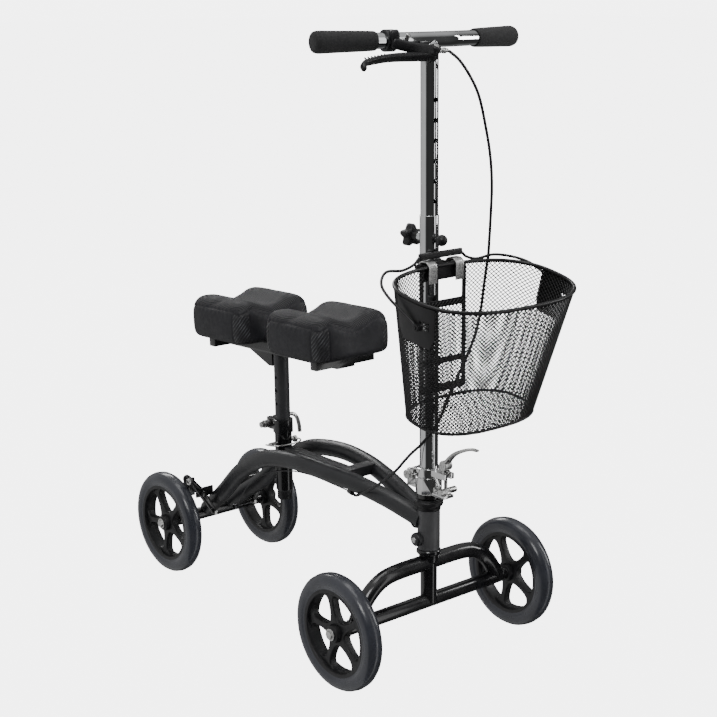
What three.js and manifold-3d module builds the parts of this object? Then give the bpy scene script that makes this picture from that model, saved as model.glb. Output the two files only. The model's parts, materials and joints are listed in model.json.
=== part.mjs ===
// Steerable knee scooter: a four-wheel frame with two arched rails, a folding and telescoping
// handlebar column, two knee pads on a height-adjustable post, a lift-off wire-mesh basket, and a
// cable brake that presses a shoe against each rear tyre.
// Millimetres, +Z up. The scooter's front looks towards -Y and its right side is -X. Everything is
// built about the column axis (x = 0, y = 0) on the ground plane z = 0, and the whole model is then
// shifted along Y so that its outer box is centred on the origin.

import * as THREE from "three";
import { mergeVertices } from "three/addons/utils/BufferGeometryUtils.js";
import Module from "manifold-3d";

const wasm = await Module();
wasm.setup();

// ---------- driving dimensions ----------

const GAP = 0.3; // clearance between pieces that touch

const WHEEL_R = 101.6; // 8 in wheels
const RIM_R = 75.9; // where the tyre sits on the wheel centre
const TYRE_HALF_W = 16;
const HUB_HALF_W = 18;
const WHEELBASE = 640;
const FRONT_HALF_TRACK = 201;
const REAR_HALF_TRACK = 118.5;
const AXLE_TUBE_R = 12.5;
const AXLE_R = 5;

const RAIL_R = 15.9;
const HEAD_TUBE = { radius: 19.5, bore: 16, bottom: 199, top: 270.3 };
const STEERER_R = 14;
const FORK_ARCH = { radius: 14, top: 173.5 };

const SEAT_Y = 411; // seat post axis
const SEAT_TUBE = { radius: 16.2, bore: 14.7, bottom: 203, top: 342 };
const SEAT_POST = { radius: 14.2, bore: 12, bottom: 200, top: 470 };
const LOCK_PIN_Z = 297;
const HOLE_PITCH = 25.4;
const CLAMP_BOLT = { y: SEAT_Y + 26, z: 330 };

const PAD = { width: 176, length: 176, bottom: 492.6, trough: 58, hump: 77, humpX: 61 };
const FRONT_PAD_Y = 270;
const REAR_PAD_Y = 504;
const SEAT_TILT = 2; // degrees: the pads' beam falls this much towards the rear

const FOLD_HINGE = { y: 30, z: 330 };
const SWING_BOLT_Y = -42;
const CAM_Z = 358.3;
const COLUMN_TUBE = { radius: 15.9, bore: 15, bottom: 346.3, top: 773 };
const MAST_TUBE = { radius: 14.6, bore: 13, bottom: 640, top: 1030 };
const MAST_HOLE_PITCH = 31.75;
const COLUMN_LOCK_Z = 735;

const BAR = { z: 1047, radius: 12.4, straight: 45, sweep: 0.167, half: 211 };
const GRIP_INNER_X = 104;
const BRAKE_CLAMP_X = -80;
const LEVER_TILT = Math.PI / 6; // the lever's plane drops this much ahead of the bar
const LEVER_PIVOT = { x: -19, out: 36 };

const BASKET = {
  rimHalf: 160,
  rimFront: -231,
  floorHalf: 119,
  floorFront: -166,
  back: -35,
  rimZ: 696.4,
  floorZ: 475,
  tilt: 0.2, // height lost per millimetre forward, at rim and floor alike
  wall: 2.4,
};
const RIM_WIRE_R = 3.2;
const BAIL_PIVOT = { x: 158, y: -146, z: 635 };

const BRAKE_ARM_Y = 585;
const BRAKE_PIVOT = { x: 74, z: 165 };
const BRAKE_TAIL = { x: 48, z: 120 };
const BRAKE_HEAD = { x: 108, z: 203 };
const CABLE_R = 2.5;
const WIRE_R = 1.3;

// ---------- materials ----------

const paint = (color, roughness, metalness) =>
  new THREE.MeshStandardMaterial({ color, roughness, metalness });
const BLACK_STEEL = paint(0x1c1d20, 0.35, 0.4);
const GREY_STEEL = paint(0x46484c, 0.4, 0.5);
const CHROME = paint(0xc9ccd0, 0.12, 1);
const TYRE = paint(0x3e4048, 0.45, 0);
const BLACK_PLASTIC = paint(0x141416, 0.4, 0);
const VINYL = paint(0x2b2c30, 0.55, 0);
const FOAM = paint(0x1a1b1e, 0.8, 0);
const SHOE_RUBBER = paint(0x6a6c70, 0.8, 0);

// ---------- geometry helpers ----------

const v3 = (x, y, z) => new THREE.Vector3(x, y, z);

// A manifold solid from a closed three.js geometry, turned outwards if its faces point in.
function solid(geometry) {
  const bare = geometry.index ? geometry.toNonIndexed() : geometry.clone();
  bare.deleteAttribute("normal");
  bare.deleteAttribute("uv");
  const merged = mergeVertices(bare, 1e-3);
  const corners = Array.from(merged.index.array);
  const faces = [];
  for (let i = 0; i < corners.length; i += 3) {
    const [a, b, c] = corners.slice(i, i + 3);
    if (a !== b && b !== c && a !== c) faces.push([a, b, c]);
  }
  const build = (list) =>
    new wasm.Manifold(
      new wasm.Mesh({
        numProp: 3,
        vertProperties: merged.attributes.position.array,
        triVerts: new Uint32Array(list.flat()),
      }),
    );
  const made = build(faces);
  return made.volume() < 0 ? build(faces.map(([a, b, c]) => [a, c, b])) : made;
}

function toGeometry(body) {
  const mesh = body.getMesh();
  const geometry = new THREE.BufferGeometry();
  geometry.setAttribute("position", new THREE.BufferAttribute(mesh.vertProperties, mesh.numProp));
  geometry.setIndex(new THREE.BufferAttribute(mesh.triVerts, 1));
  geometry.computeVertexNormals();
  return geometry;
}

const join = (first, ...rest) => rest.reduce((sum, body) => sum.add(body), first);
const cut = (first, ...rest) => rest.reduce((left, body) => left.subtract(body), first);

// A round bar from one point to another.
function rod(from, to, radius, sides = 16) {
  const along = to.clone().sub(from);
  const geometry = new THREE.CylinderGeometry(radius, radius, along.length(), sides);
  const turn = new THREE.Quaternion().setFromUnitVectors(v3(0, 1, 0), along.clone().normalize());
  geometry.applyQuaternion(turn);
  const middle = from.clone().lerp(to, 0.5);
  return solid(geometry.translate(middle.x, middle.y, middle.z));
}

const rodX = (x1, x2, y, z, radius, sides) => rod(v3(x1, y, z), v3(x2, y, z), radius, sides);
const rodY = (y1, y2, x, z, radius, sides) => rod(v3(x, y1, z), v3(x, y2, z), radius, sides);
const rodZ = (z1, z2, x, y, radius, sides) => rod(v3(x, y, z1), v3(x, y, z2), radius, sides);

// A box given by its lowest and highest corners.
function block([x1, y1, z1], [x2, y2, z2]) {
  const geometry = new THREE.BoxGeometry(x2 - x1, y2 - y1, z2 - z1);
  return solid(geometry.translate((x1 + x2) / 2, (y1 + y2) / 2, (z1 + z2) / 2));
}

// A round tube or wire swept along a smooth curve through the given points.
function sweep(points, radius, steps, sides = 12) {
  const section = new THREE.Shape();
  for (let i = 0; i < sides; i++) {
    const turn = (i / sides) * 2 * Math.PI;
    if (i === 0) section.moveTo(radius, 0);
    else section.lineTo(radius * Math.cos(turn), radius * Math.sin(turn));
  }
  section.closePath();
  const extrudePath = new THREE.CatmullRomCurve3(
    points.map(([x, y, z]) => v3(x, y, z)),
    false,
    "centripetal",
  );
  return solid(new THREE.ExtrudeGeometry(section, { steps, bevelEnabled: false, extrudePath }));
}

// A turned shape about Z at (x, y): profile points are [radius, height].
function turned(profile, x, y, sides = 24) {
  const points = profile.map(([r, h]) => new THREE.Vector2(r, h));
  const geometry = new THREE.LatheGeometry(points, sides).rotateX(Math.PI / 2);
  return solid(geometry.translate(x, y, 0));
}

const ring = (outer, inner, bottom, top, x, y, sides) =>
  turned(
    [
      [inner, bottom],
      [outer, bottom],
      [outer, top],
      [inner, top],
      [inner, bottom],
    ],
    x,
    y,
    sides,
  );

// The same about X, for wheels: profile points are [radius, distance outward].
function wheelTurned(profile, sides) {
  const points = profile.map(([r, h]) => new THREE.Vector2(r, h));
  return solid(new THREE.LatheGeometry(points, sides).rotateZ(-Math.PI / 2));
}

// A flat plate cut from an outline. "xz" outlines lie across the scooter, "yz" ones along it.
function plate(outline, plane, from, to) {
  const shape = new THREE.Shape(outline.map(([a, b]) => new THREE.Vector2(a, b)));
  const geometry = new THREE.ExtrudeGeometry(shape, { depth: to - from, bevelEnabled: false });
  const basis = new THREE.Matrix4();
  if (plane === "yz") basis.makeBasis(v3(0, 1, 0), v3(0, 0, 1), v3(1, 0, 0)).setPosition(from, 0, 0);
  else basis.makeBasis(v3(1, 0, 0), v3(0, 0, 1), v3(0, -1, 0)).setPosition(0, to, 0);
  return solid(geometry.applyMatrix4(basis));
}

// A closed skin through rings of equal point count, ended by a single point at each end.
function ringSolid(first, rings, last) {
  const count = rings[0].length;
  const positions = [first, ...rings.flat(), last].flatMap((p) => [p.x, p.y, p.z]);
  const end = positions.length / 3 - 1;
  const at = (r, i) => 1 + r * count + (i % count);
  const faces = [];
  for (let i = 0; i < count; i++) {
    faces.push(0, at(0, i + 1), at(0, i));
    faces.push(end, at(rings.length - 1, i), at(rings.length - 1, i + 1));
    for (let r = 0; r + 1 < rings.length; r++) {
      faces.push(at(r, i), at(r, i + 1), at(r + 1, i));
      faces.push(at(r, i + 1), at(r + 1, i + 1), at(r + 1, i));
    }
  }
  const geometry = new THREE.BufferGeometry();
  geometry.setAttribute("position", new THREE.Float32BufferAttribute(positions, 3));
  geometry.setIndex(faces);
  return solid(geometry);
}

// A point on a rounded rectangle: power 2 is an ellipse, higher powers are squarer.
function roundedPoint(turn, halfX, halfY, power) {
  const c = Math.cos(turn);
  const s = Math.sin(turn);
  const x = halfX * Math.sign(c) * Math.abs(c) ** (2 / power);
  const y = halfY * Math.sign(s) * Math.abs(s) ** (2 / power);
  return [x, y];
}

const scooter = new THREE.Group();

function group() {
  const made = new THREE.Group();
  scooter.add(made);
  return made;
}

function part(parent, name, body, material) {
  const mesh = new THREE.Mesh(toGeometry(body), material);
  mesh.name = name;
  parent.add(mesh);
  return mesh;
}

const SIDES = [
  ["right", -1],
  ["left", 1],
];

// ---------- frame: head tube, rails, bridge, seat tube, rear axle tube ----------

const frame = group();

// One arched rail: from the head tube, up over the seat tube's sides and down to the rear axle.
function railBody(side, radius) {
  const route = [
    [8, 8, 250],
    [12, 40, 258.5],
    [20, 86, 271],
    [33.5, 155, 285],
    [46.5, 225, 292],
    [52, 300, 293.5],
    [52, 386, 280.5],
    [52, 436, 259],
    [49.5, 486, 228],
    [43, 550, 173],
    [33, 594, 142],
    [29, 634, 111],
  ];
  return sweep(
    route.map(([x, y, z]) => [side * x, y, z]),
    radius,
    18,
    12,
  );
}

function rail(side) {
  const halfSpace = block([side < 0 ? -100 : 0.2, -50, 50], [side < 0 ? -0.2 : 100, 700, 350]);
  return cut(
    railBody(side, RAIL_R).intersect(halfSpace),
    rodZ(150, 320, 0, 0, HEAD_TUBE.radius + GAP, 32),
    rodX(-90, 90, WHEELBASE, WHEEL_R, AXLE_TUBE_R + GAP, 24),
  );
}

for (const [name, side] of SIDES) part(frame, `main_rail_${name}`, rail(side), BLACK_STEEL);

// The head tube carries a rubber-faced bolt through its foot, which limits the steering knock.
const headTube = join(
  ring(HEAD_TUBE.radius, HEAD_TUBE.bore, HEAD_TUBE.bottom, HEAD_TUBE.top, 0, 0, 28),
  rodX(-30, -18, 4, 219, 12, 16),
  rodX(18, 25, 4, 219, 5, 12),
);
part(frame, "head_tube", headTube, GREY_STEEL);

const headsetUpper = turned(
  [
    [STEERER_R + 0.5, HEAD_TUBE.top + GAP],
    [21, HEAD_TUBE.top + GAP],
    [21, 281],
    [25, 284],
    [25, 290.5],
    [STEERER_R + 0.5, 290.5],
    [STEERER_R + 0.5, HEAD_TUBE.top + GAP],
  ],
  0,
  0,
  28,
);
part(frame, "headset_upper", headsetUpper, BLACK_PLASTIC);
part(
  frame,
  "headset_lower",
  ring(21.5, STEERER_R + 0.5, 189.5, HEAD_TUBE.bottom - GAP, 0, 0, 28),
  BLACK_STEEL,
);

// Bridge between the rails: a cross brace, a channel back to the seat tube and a saddle around it.
const bridge = cut(
  join(
    block([-34, 176, 284], [34, 200, 302]),
    block([-10, 199, 272], [10, 394, 291]),
    block([-48, 390, 260], [48, 430, 274]),
  ),
  rodZ(250, 300, 0, SEAT_Y, SEAT_TUBE.radius + GAP, 32),
  railBody(-1, RAIL_R + GAP),
  railBody(1, RAIL_R + GAP),
);
part(frame, "frame_bridge", bridge, BLACK_STEEL);

// Seat tube: split at the top, with two ears for the quick-release bolt behind it.
const seatTube = cut(
  join(
    rodZ(SEAT_TUBE.bottom, SEAT_TUBE.top, 0, SEAT_Y, SEAT_TUBE.radius, 24),
    rodZ(317, SEAT_TUBE.top, 0, SEAT_Y, 19, 24),
    block([-12, SEAT_Y + 13, 319], [12, CLAMP_BOLT.y + 9, 341]),
  ),
  rodZ(190, 350, 0, SEAT_Y, SEAT_TUBE.bore, 24),
  block([-2, SEAT_Y, 306], [2, CLAMP_BOLT.y + 20, 350]),
  rodX(-40, 40, CLAMP_BOLT.y, CLAMP_BOLT.z, 3.5, 12),
  rodX(-40, 40, SEAT_Y, LOCK_PIN_Z, 3.7, 12),
);
part(frame, "seat_tube", seatTube, BLACK_STEEL);

const rearAxleEnd = REAR_HALF_TRACK - HUB_HALF_W - GAP;
part(
  frame,
  "rear_axle_tube",
  rodX(-rearAxleEnd, rearAxleEnd, WHEELBASE, WHEEL_R, AXLE_TUBE_R, 20),
  BLACK_STEEL,
);

// A plate off each rail, with the stud that its brake arm turns on.
for (const [name, side] of SIDES) {
  const outer = side * (BRAKE_PIVOT.x + 10);
  const inner = side * 45;
  const body = cut(
    join(
      block([Math.min(outer, inner), 589, 156], [Math.max(outer, inner), 593, 174]),
      rodY(580.2, 590, side * BRAKE_PIVOT.x, BRAKE_PIVOT.z, 3, 12),
      rodY(577, 582.6, side * BRAKE_PIVOT.x, BRAKE_PIVOT.z, 6, 12),
    ),
    railBody(side, RAIL_R + GAP),
  );
  part(frame, `brake_bracket_${name}`, body, BLACK_STEEL);
}

// Cable stop under the right rail: the housing ends in it and the bare wire leaves it.
const cableStop = cut(
  join(
    rod(v3(-32, 166.5, 262.5), v3(-28.5, 181, 262.5), 4.2, 10),
    block([-34, 170, 263], [-27, 177, 278]),
  ),
  railBody(-1, RAIL_R + GAP),
);
part(frame, "cable_stop", cableStop, BLACK_STEEL);

// ---------- seat clamp and lock pin ----------

const clampBolt = join(
  rodX(-35, 23, CLAMP_BOLT.y, CLAMP_BOLT.z, 3, 12),
  rodX(-33, -26, CLAMP_BOLT.y, CLAMP_BOLT.z, 6.2, 6),
  rodX(-26, -12.4, CLAMP_BOLT.y, CLAMP_BOLT.z, 7.5, 16),
);
part(frame, "seat_clamp_bolt", clampBolt, BLACK_STEEL);

const clampLever = cut(
  join(
    rodY(CLAMP_BOLT.y - 7, CLAMP_BOLT.y + 7, 22, CLAMP_BOLT.z, 9.5, 18),
    sweep(
      [
        [24, CLAMP_BOLT.y, 335],
        [38, CLAMP_BOLT.y, 339],
        [50, CLAMP_BOLT.y, 333],
        [57, CLAMP_BOLT.y, 316],
        [59, CLAMP_BOLT.y, 299],
      ],
      4,
      10,
      8,
    ),
  ),
  block([8, CLAMP_BOLT.y - 3.6, CLAMP_BOLT.z - 3.8], [27.5, CLAMP_BOLT.y + 3.6, 345]),
);
part(group(), "seat_clamp_lever", clampLever, BLACK_STEEL);

const lockPin = join(
  rodX(-33.5, 27, SEAT_Y, LOCK_PIN_Z, 3.2, 12),
  rodX(24, 30, SEAT_Y, LOCK_PIN_Z, 6.5, 14),
);
part(group(), "seat_lock_pin", lockPin, CHROME);

const lockBail = sweep(
  [
    [32.5, SEAT_Y, LOCK_PIN_Z],
    [32.5, SEAT_Y - 10, LOCK_PIN_Z],
    [24, SEAT_Y - 20, LOCK_PIN_Z],
    [0, SEAT_Y - 24.5, LOCK_PIN_Z],
    [-22, SEAT_Y - 21, LOCK_PIN_Z],
    [-34, SEAT_Y - 10, LOCK_PIN_Z],
    [-38.5, SEAT_Y + 3, LOCK_PIN_Z],
  ],
  1.6,
  18,
  6,
);
part(group(), "seat_lock_bail", lockBail, CHROME);

// ---------- seat: post, bracket and the two knee pads ----------

const seat = group();

// The slot below the clamp lets the post slide past the lock pin; the holes above it index the height.
const postHoles = [3, 4, 5].map((n) => rodX(-20, 20, SEAT_Y, LOCK_PIN_Z + n * HOLE_PITCH, 3.2, 10));
const seatPost = cut(
  rodZ(SEAT_POST.bottom, SEAT_POST.top, 0, SEAT_Y, SEAT_POST.radius, 20),
  rodZ(SEAT_POST.bottom - 1, SEAT_POST.top - 5, 0, SEAT_Y, SEAT_POST.bore, 16),
  block([-20, SEAT_Y - 3.8, 217], [20, SEAT_Y + 3.8, 352]),
  ...postHoles,
);
part(seat, "seat_post", seatPost, GREY_STEEL);

const postPlug = join(
  rodZ(184, SEAT_POST.bottom - GAP, 0, SEAT_Y, SEAT_POST.radius, 22),
  rodZ(199, 215, 0, SEAT_Y, SEAT_POST.bore - GAP, 22),
);
part(seat, "seat_post_plug", postPlug, BLACK_PLASTIC);

// The beam and the pads are drawn level, then tipped about the post's axis.
const tipped = (body) =>
  body
    .translate([0, -SEAT_Y, -PAD.bottom])
    .rotate([-SEAT_TILT, 0, 0])
    .translate([0, SEAT_Y, PAD.bottom]);
const bracketTop = PAD.bottom - GAP;
const bracket = join(
  block([-20, 220, 470.6], [20, 549, bracketTop]),
  block([-66, 220, 474.6], [66, 237, bracketTop]),
  block([-66, 531, 474.6], [66, 549, bracketTop]),
  plate(
    [
      [425, 471.2],
      [425, 444],
      [436, 444],
      [503, 471.2],
    ],
    "yz",
    -12,
    12,
  ),
);
const seatBracket = cut(
  tipped(bracket),
  rodZ(430, SEAT_POST.top + GAP, 0, SEAT_Y, SEAT_POST.radius + GAP, 24),
);
part(seat, "seat_bracket", seatBracket, BLACK_STEEL);

// A knee pad: a rounded square whose top is a trough between two side humps.
function padBody(centreY) {
  const count = 32;
  const topAt = (x) => {
    const across = Math.min(Math.abs(x) / PAD.humpX, 1.35);
    const rise = Math.sin((across * Math.PI) / 2) ** 2;
    return PAD.bottom + PAD.trough + (PAD.hump - PAD.trough) * rise;
  };
  const layer = (scale, height) =>
    Array.from({ length: count }, (_, i) => {
      const turn = ((i + 0.5) / count) * 2 * Math.PI;
      const [x, dy] = roundedPoint(turn, (PAD.width / 2) * scale, (PAD.length / 2) * scale, 6.5);
      return v3(x, centreY + dy, height(x));
    });
  const flat = (h) => () => PAD.bottom + h;
  const below = (drop) => (x) => topAt(x) - drop;
  return tipped(
    ringSolid(
      v3(0, centreY, PAD.bottom),
      [
        layer(0.93, flat(0)),
        layer(0.98, flat(3)),
        layer(1, flat(10)),
        layer(1, below(14)),
        layer(0.98, below(6)),
        layer(0.92, below(1)),
        layer(0.7, below(0)),
        layer(0.36, below(0)),
      ],
      v3(0, centreY, topAt(0)),
    ),
  );
}

part(seat, "knee_pad_front", padBody(FRONT_PAD_Y), VINYL);
part(seat, "knee_pad_rear", padBody(REAR_PAD_Y), VINYL);

// ---------- wheels ----------

const TYRE_PROFILE = [
  [76.2, -13.6],
  [88, -TYRE_HALF_W],
  [97.5, -13.4],
  [WHEEL_R, -4.5],
  [WHEEL_R, 4.5],
  [97.5, 13.4],
  [88, TYRE_HALF_W],
  [76.2, 13.6],
  [76.2, -13.6],
];

function tyre() {
  return wheelTurned(TYRE_PROFILE, 24);
}

// Wheel centre: a deep rim ring, five waisted spokes and a bored hub, rolled by some degrees.
function wheelCentre(rolled) {
  const spoke = plate(
    [
      [-9, 10],
      [9, 10],
      [6, 38],
      [13, 72],
      [-13, 72],
      [-6, 38],
    ],
    "yz",
    -8,
    8,
  );
  const spokes = Array.from({ length: 5 }, (_, i) => spoke.rotate([i * 72 + rolled, 0, 0]));
  const rim = wheelTurned(
    [
      [RIM_R, -13.5],
      [RIM_R, 13.5],
      [69.5, 13.5],
      [69.5, -13.5],
      [RIM_R, -13.5],
    ],
    24,
  );
  const hub = rodX(-HUB_HALF_W, HUB_HALF_W, 0, 0, 15, 16);
  return cut(join(rim, hub, ...spokes), rodX(-40, 40, 0, 0, AXLE_R + 0.4, 12));
}

// The axle bolt runs through the hub from its tube and ends in a washer and a capped nut.
function axleBolt(side) {
  return join(
    rodX(-side * HUB_HALF_W, side * 19, 0, 0, AXLE_R, 12),
    rodX(side * (HUB_HALF_W + GAP), side * 19.6, 0, 0, 10.5, 14),
    rodX(side * 19.4, side * 22.5, 0, 0, 7, 6),
  );
}

const AXLES = [
  ["front", 0, FRONT_HALF_TRACK],
  ["rear", WHEELBASE, REAR_HALF_TRACK],
];
const ROLLED = { front_right: -13, front_left: -24, rear_right: -27, rear_left: 34 };

for (const [end, y, halfTrack] of AXLES)
  for (const [name, side] of SIDES) {
    const wheel = group();
    wheel.position.set(side * halfTrack, y, WHEEL_R);
    part(wheel, `tyre_${end}_${name}`, tyre(), TYRE);
    part(wheel, `wheel_${end}_${name}`, wheelCentre(ROLLED[`${end}_${name}`]), BLACK_PLASTIC);
    part(wheel, `axle_bolt_${end}_${name}`, axleBolt(side), CHROME);
  }

// ---------- steering: fork, neck and the lower half of the folding clamp ----------

const steering = group();

const forkEnd = FRONT_HALF_TRACK - HUB_HALF_W - GAP;
const archHalf = [
  [166, 0, WHEEL_R],
  [156, 0, 121],
  [142, 0, 141],
  [125, 0, 157],
  [104, 0, 168],
  [80, 0, FORK_ARCH.top - 1],
];
const arch = [
  ...archHalf.map(([x, y, z]) => [-x, y, z]),
  [0, 0, FORK_ARCH.top],
  ...archHalf.toReversed(),
];
const fork = join(
  rodX(-forkEnd, forkEnd, 0, WHEEL_R, AXLE_TUBE_R, 16),
  sweep(arch, FORK_ARCH.radius, 22, 12),
  rodZ(100, 180, 0, 0, 14.5, 16),
  rodZ(174, 189, 0, 0, 17, 16),
  rodZ(185, 300, 0, 0, STEERER_R, 20),
  rodZ(291, 300.7, 0, 0, 20.5, 16),
);
part(steering, "fork", fork, BLACK_STEEL);

const octagon = (radius, bottom, top) => {
  const geometry = new THREE.CylinderGeometry(radius, radius, top - bottom, 8);
  geometry.rotateX(Math.PI / 2);
  return solid(geometry.rotateZ(Math.PI / 8).translate(0, 0, (bottom + top) / 2));
};

// Lower clamp block: rear cheeks for the hinge pin, and a front shelf that the swing bolt's nut rests on.
const neckBlock = cut(
  join(
    octagon(24, 301, 329.7),
    block([-16, 14, 308], [-9.6, 38, 338]),
    block([9.6, 14, 308], [16, 38, 338]),
    block([-11, SWING_BOLT_Y - 8, 301], [11, -18, 306.2]),
  ),
  rodX(-9.6, 9.6, FOLD_HINGE.y, FOLD_HINGE.z, 9.6, 20),
  rodX(-20, 20, FOLD_HINGE.y, FOLD_HINGE.z, 3.9, 12),
  block([-30, -30, 329.7], [30, 22.8, 345]),
);
part(steering, "clamp_lower", neckBlock, CHROME);

const hingePin = join(
  rodX(-25, 22, FOLD_HINGE.y, FOLD_HINGE.z, 3.5, 12),
  rodX(-25, -16.3, FOLD_HINGE.y, FOLD_HINGE.z, 8, 14),
  rodX(16.3, 22, FOLD_HINGE.y, FOLD_HINGE.z, 6.5, 6),
);
part(steering, "fold_hinge_pin", hingePin, CHROME);

// ---------- column: upper clamp half, outer tube, swing bolt, basket bracket ----------

const column = group();

const columnBlock = cut(
  join(
    octagon(22, 330, 346).intersect(block([-30, -30, 329], [30, 17, 347])),
    rodX(-9.3, 9.3, FOLD_HINGE.y, FOLD_HINGE.z, 9.2, 20),
    block([-9.3, 10, 330], [9.3, 34, 339]),
    block([-11, SWING_BOLT_Y - 9, 335], [11, -14, 345]),
  ),
  rodX(-20, 20, FOLD_HINGE.y, FOLD_HINGE.z, 3.9, 12),
  block([-3.7, SWING_BOLT_Y - 20, 330], [3.7, SWING_BOLT_Y + 4, 350]),
);
part(column, "clamp_upper", columnBlock, CHROME);

const swingBolt = join(
  rodZ(312, 349, 0, SWING_BOLT_Y, 3.2, 12),
  rodX(-14, 22, SWING_BOLT_Y, 312, 5.5, 14),
  rodZ(345.3, 348.6, 0, SWING_BOLT_Y, 8, 16),
);
part(column, "clamp_swing_bolt", swingBolt, CHROME);

const columnTube = cut(
  join(
    rodZ(COLUMN_TUBE.bottom, COLUMN_TUBE.top, 0, 0, COLUMN_TUBE.radius, 28),
    rodY(8, 24, 0, COLUMN_LOCK_Z, 8, 16),
  ),
  rodZ(COLUMN_TUBE.bottom + 4, COLUMN_TUBE.top + 1, 0, 0, COLUMN_TUBE.bore, 28),
  rodY(0, 30, 0, COLUMN_LOCK_Z, 4.5, 12),
  rodY(-20, 0, 0, COLUMN_LOCK_Z, 4.5, 12),
);
part(column, "column_tube", columnTube, CHROME);

// A band round the column carries a cross bar that the basket's two hooks hang over.
const basketBracket = cut(
  join(
    rodZ(684, 702, 0, 0, 19.5, 24),
    block([-14, -26, 691], [14, -14, 701]),
    rodX(-50, 50, -23, 697, 3.6, 12),
  ),
  rodZ(680, 710, 0, 0, COLUMN_TUBE.radius + GAP, 28),
);
part(column, "basket_bracket", basketBracket, BLACK_STEEL);

// Cam lever of the swing bolt: a round cam and a blade that curves forward and up.
const camLever = join(
  rodX(-8, 8, SWING_BOLT_Y, CAM_Z, 9, 20),
  sweep(
    [
      [0, SWING_BOLT_Y - 2, CAM_Z + 4],
      [0, SWING_BOLT_Y - 20, CAM_Z + 21],
      [0, SWING_BOLT_Y - 46, CAM_Z + 37],
      [0, SWING_BOLT_Y - 76, CAM_Z + 43],
    ],
    4.4,
    10,
    10,
  ),
);
part(group(), "clamp_cam_lever", camLever, CHROME);

// Five-lobed star knob behind the column, on a threaded shank.
const lobes = Array.from({ length: 40 }, (_, i) => {
  const turn = (i / 40) * 2 * Math.PI;
  const radius = 16 + 3.4 * Math.cos(5 * turn);
  return [radius * Math.sin(turn), COLUMN_LOCK_Z + radius * Math.cos(turn)];
});
const starKnob = join(
  plate(lobes, "xz", 36, 53),
  rodY(24.3, 37, 0, COLUMN_LOCK_Z, 8.5, 14),
  rodY(15, 25, 0, COLUMN_LOCK_Z, 4, 12),
);
part(group(), "column_star_knob", starKnob, BLACK_PLASTIC);

// Ball-headed spring pin in front of the column.
const ball = solid(new THREE.SphereGeometry(9.5, 16, 10).translate(0, -30, COLUMN_LOCK_Z));
const ballPin = join(ball, rodY(-28, -15, 0, COLUMN_LOCK_Z, 4, 12));
part(group(), "column_lock_pin", ballPin, BLACK_PLASTIC);

// ---------- tiller: inner tube, handlebar, grips, brake perch ----------

const tiller = group();

const tillerHoles = [-2, -1, 0, 1, 2, 3, 4, 5, 6, 7].map((n) =>
  rodY(-20, 0, 0, COLUMN_LOCK_Z - 2 + n * MAST_HOLE_PITCH, 4.2, 8),
);
const mastTube = cut(
  rodZ(MAST_TUBE.bottom, MAST_TUBE.top, 0, 0, MAST_TUBE.radius, 22),
  rodZ(MAST_TUBE.bottom - 1, MAST_TUBE.top - 10, 0, 0, MAST_TUBE.bore, 16),
  rodX(-30, 30, 0, BAR.z, BAR.radius + 4.4, 24),
  ...tillerHoles,
);
part(tiller, "mast_inner_tube", mastTube, CHROME);

// The bar is straight in the middle and swept back on each side.
const barY = (x) => BAR.sweep * Math.max(0, Math.abs(x) - BAR.straight);
const barRoute = (xs) => xs.map((x) => [x, barY(x), BAR.z]);
const handlebar = join(
  sweep(barRoute([-204, -120, -60, -40, 0, 40, 60, 120, 204]), BAR.radius, 14, 14),
  rodZ(MAST_TUBE.top + GAP, BAR.z, 0, 0, MAST_TUBE.radius, 22),
);
part(tiller, "handlebar", handlebar, CHROME);

// Foam grip: a sleeve closed at its outer end, thicker outboard.
function gripBody(side) {
  const inner = v3(side * GRIP_INNER_X, barY(GRIP_INNER_X), BAR.z);
  const outer = v3(side * BAR.half, barY(BAR.half), BAR.z);
  const length = inner.distanceTo(outer);
  const bore = BAR.radius + 0.4;
  const profile = [
    [0, length],
    [9, length],
    [15, length - 3],
    [17.2, length - 10],
    [16.8, length - 30],
    [15.2, 12],
    [14.8, 3],
    [14, 0],
    [bore, 0],
    [bore, length - 6],
    [0, length - 6],
  ];
  const points = profile.map(([r, h]) => new THREE.Vector2(r, h));
  const geometry = new THREE.LatheGeometry(points, 14);
  const direction = outer.clone().sub(inner).normalize();
  geometry.applyQuaternion(new THREE.Quaternion().setFromUnitVectors(v3(0, 1, 0), direction));
  return solid(geometry.translate(inner.x, inner.y, inner.z));
}

for (const [name, side] of SIDES) part(tiller, `grip_${name}`, gripBody(side), FOAM);

// A point in the brake lever's plane, which tilts down ahead of the bar.
const leverPlane = (x, out, up) => [
  x,
  barY(x) * 0.5 - out * Math.cos(LEVER_TILT) - up * Math.sin(LEVER_TILT),
  BAR.z - out * Math.sin(LEVER_TILT) + up * Math.cos(LEVER_TILT),
];
const leverPoint = (x, out, up) => v3(...leverPlane(x, out, up));

// Perch: a clamp round the bar, an arm to the lever's pivot and the barrel the cable leaves by.
const clampDirection = v3(1, -BAR.sweep, 0).normalize();
const clampCentre = v3(BRAKE_CLAMP_X, barY(BRAKE_CLAMP_X), BAR.z);
const clampEnd = (distance) => clampCentre.clone().addScaledVector(clampDirection, distance);
const perch = cut(
  join(
    rod(clampEnd(-9), clampEnd(9), 17, 18),
    sweep(
      [leverPlane(-78, 15, 4), leverPlane(-62, 24, 4), leverPlane(-40, 31, 4), leverPlane(-19, 36, 4)],
      5.5,
      8,
      10,
    ),
    rod(leverPoint(LEVER_PIVOT.x, LEVER_PIVOT.out, -1.2), leverPoint(LEVER_PIVOT.x, LEVER_PIVOT.out, 11), 7, 14),
    rod(leverPoint(-19, 36, 3), v3(8.5, -34, 1031), 4.5, 12),
  ),
  rod(clampEnd(-20), clampEnd(20), BAR.radius + 0.4, 24),
);
part(tiller, "brake_lever_perch", perch, BLACK_PLASTIC);

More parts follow.
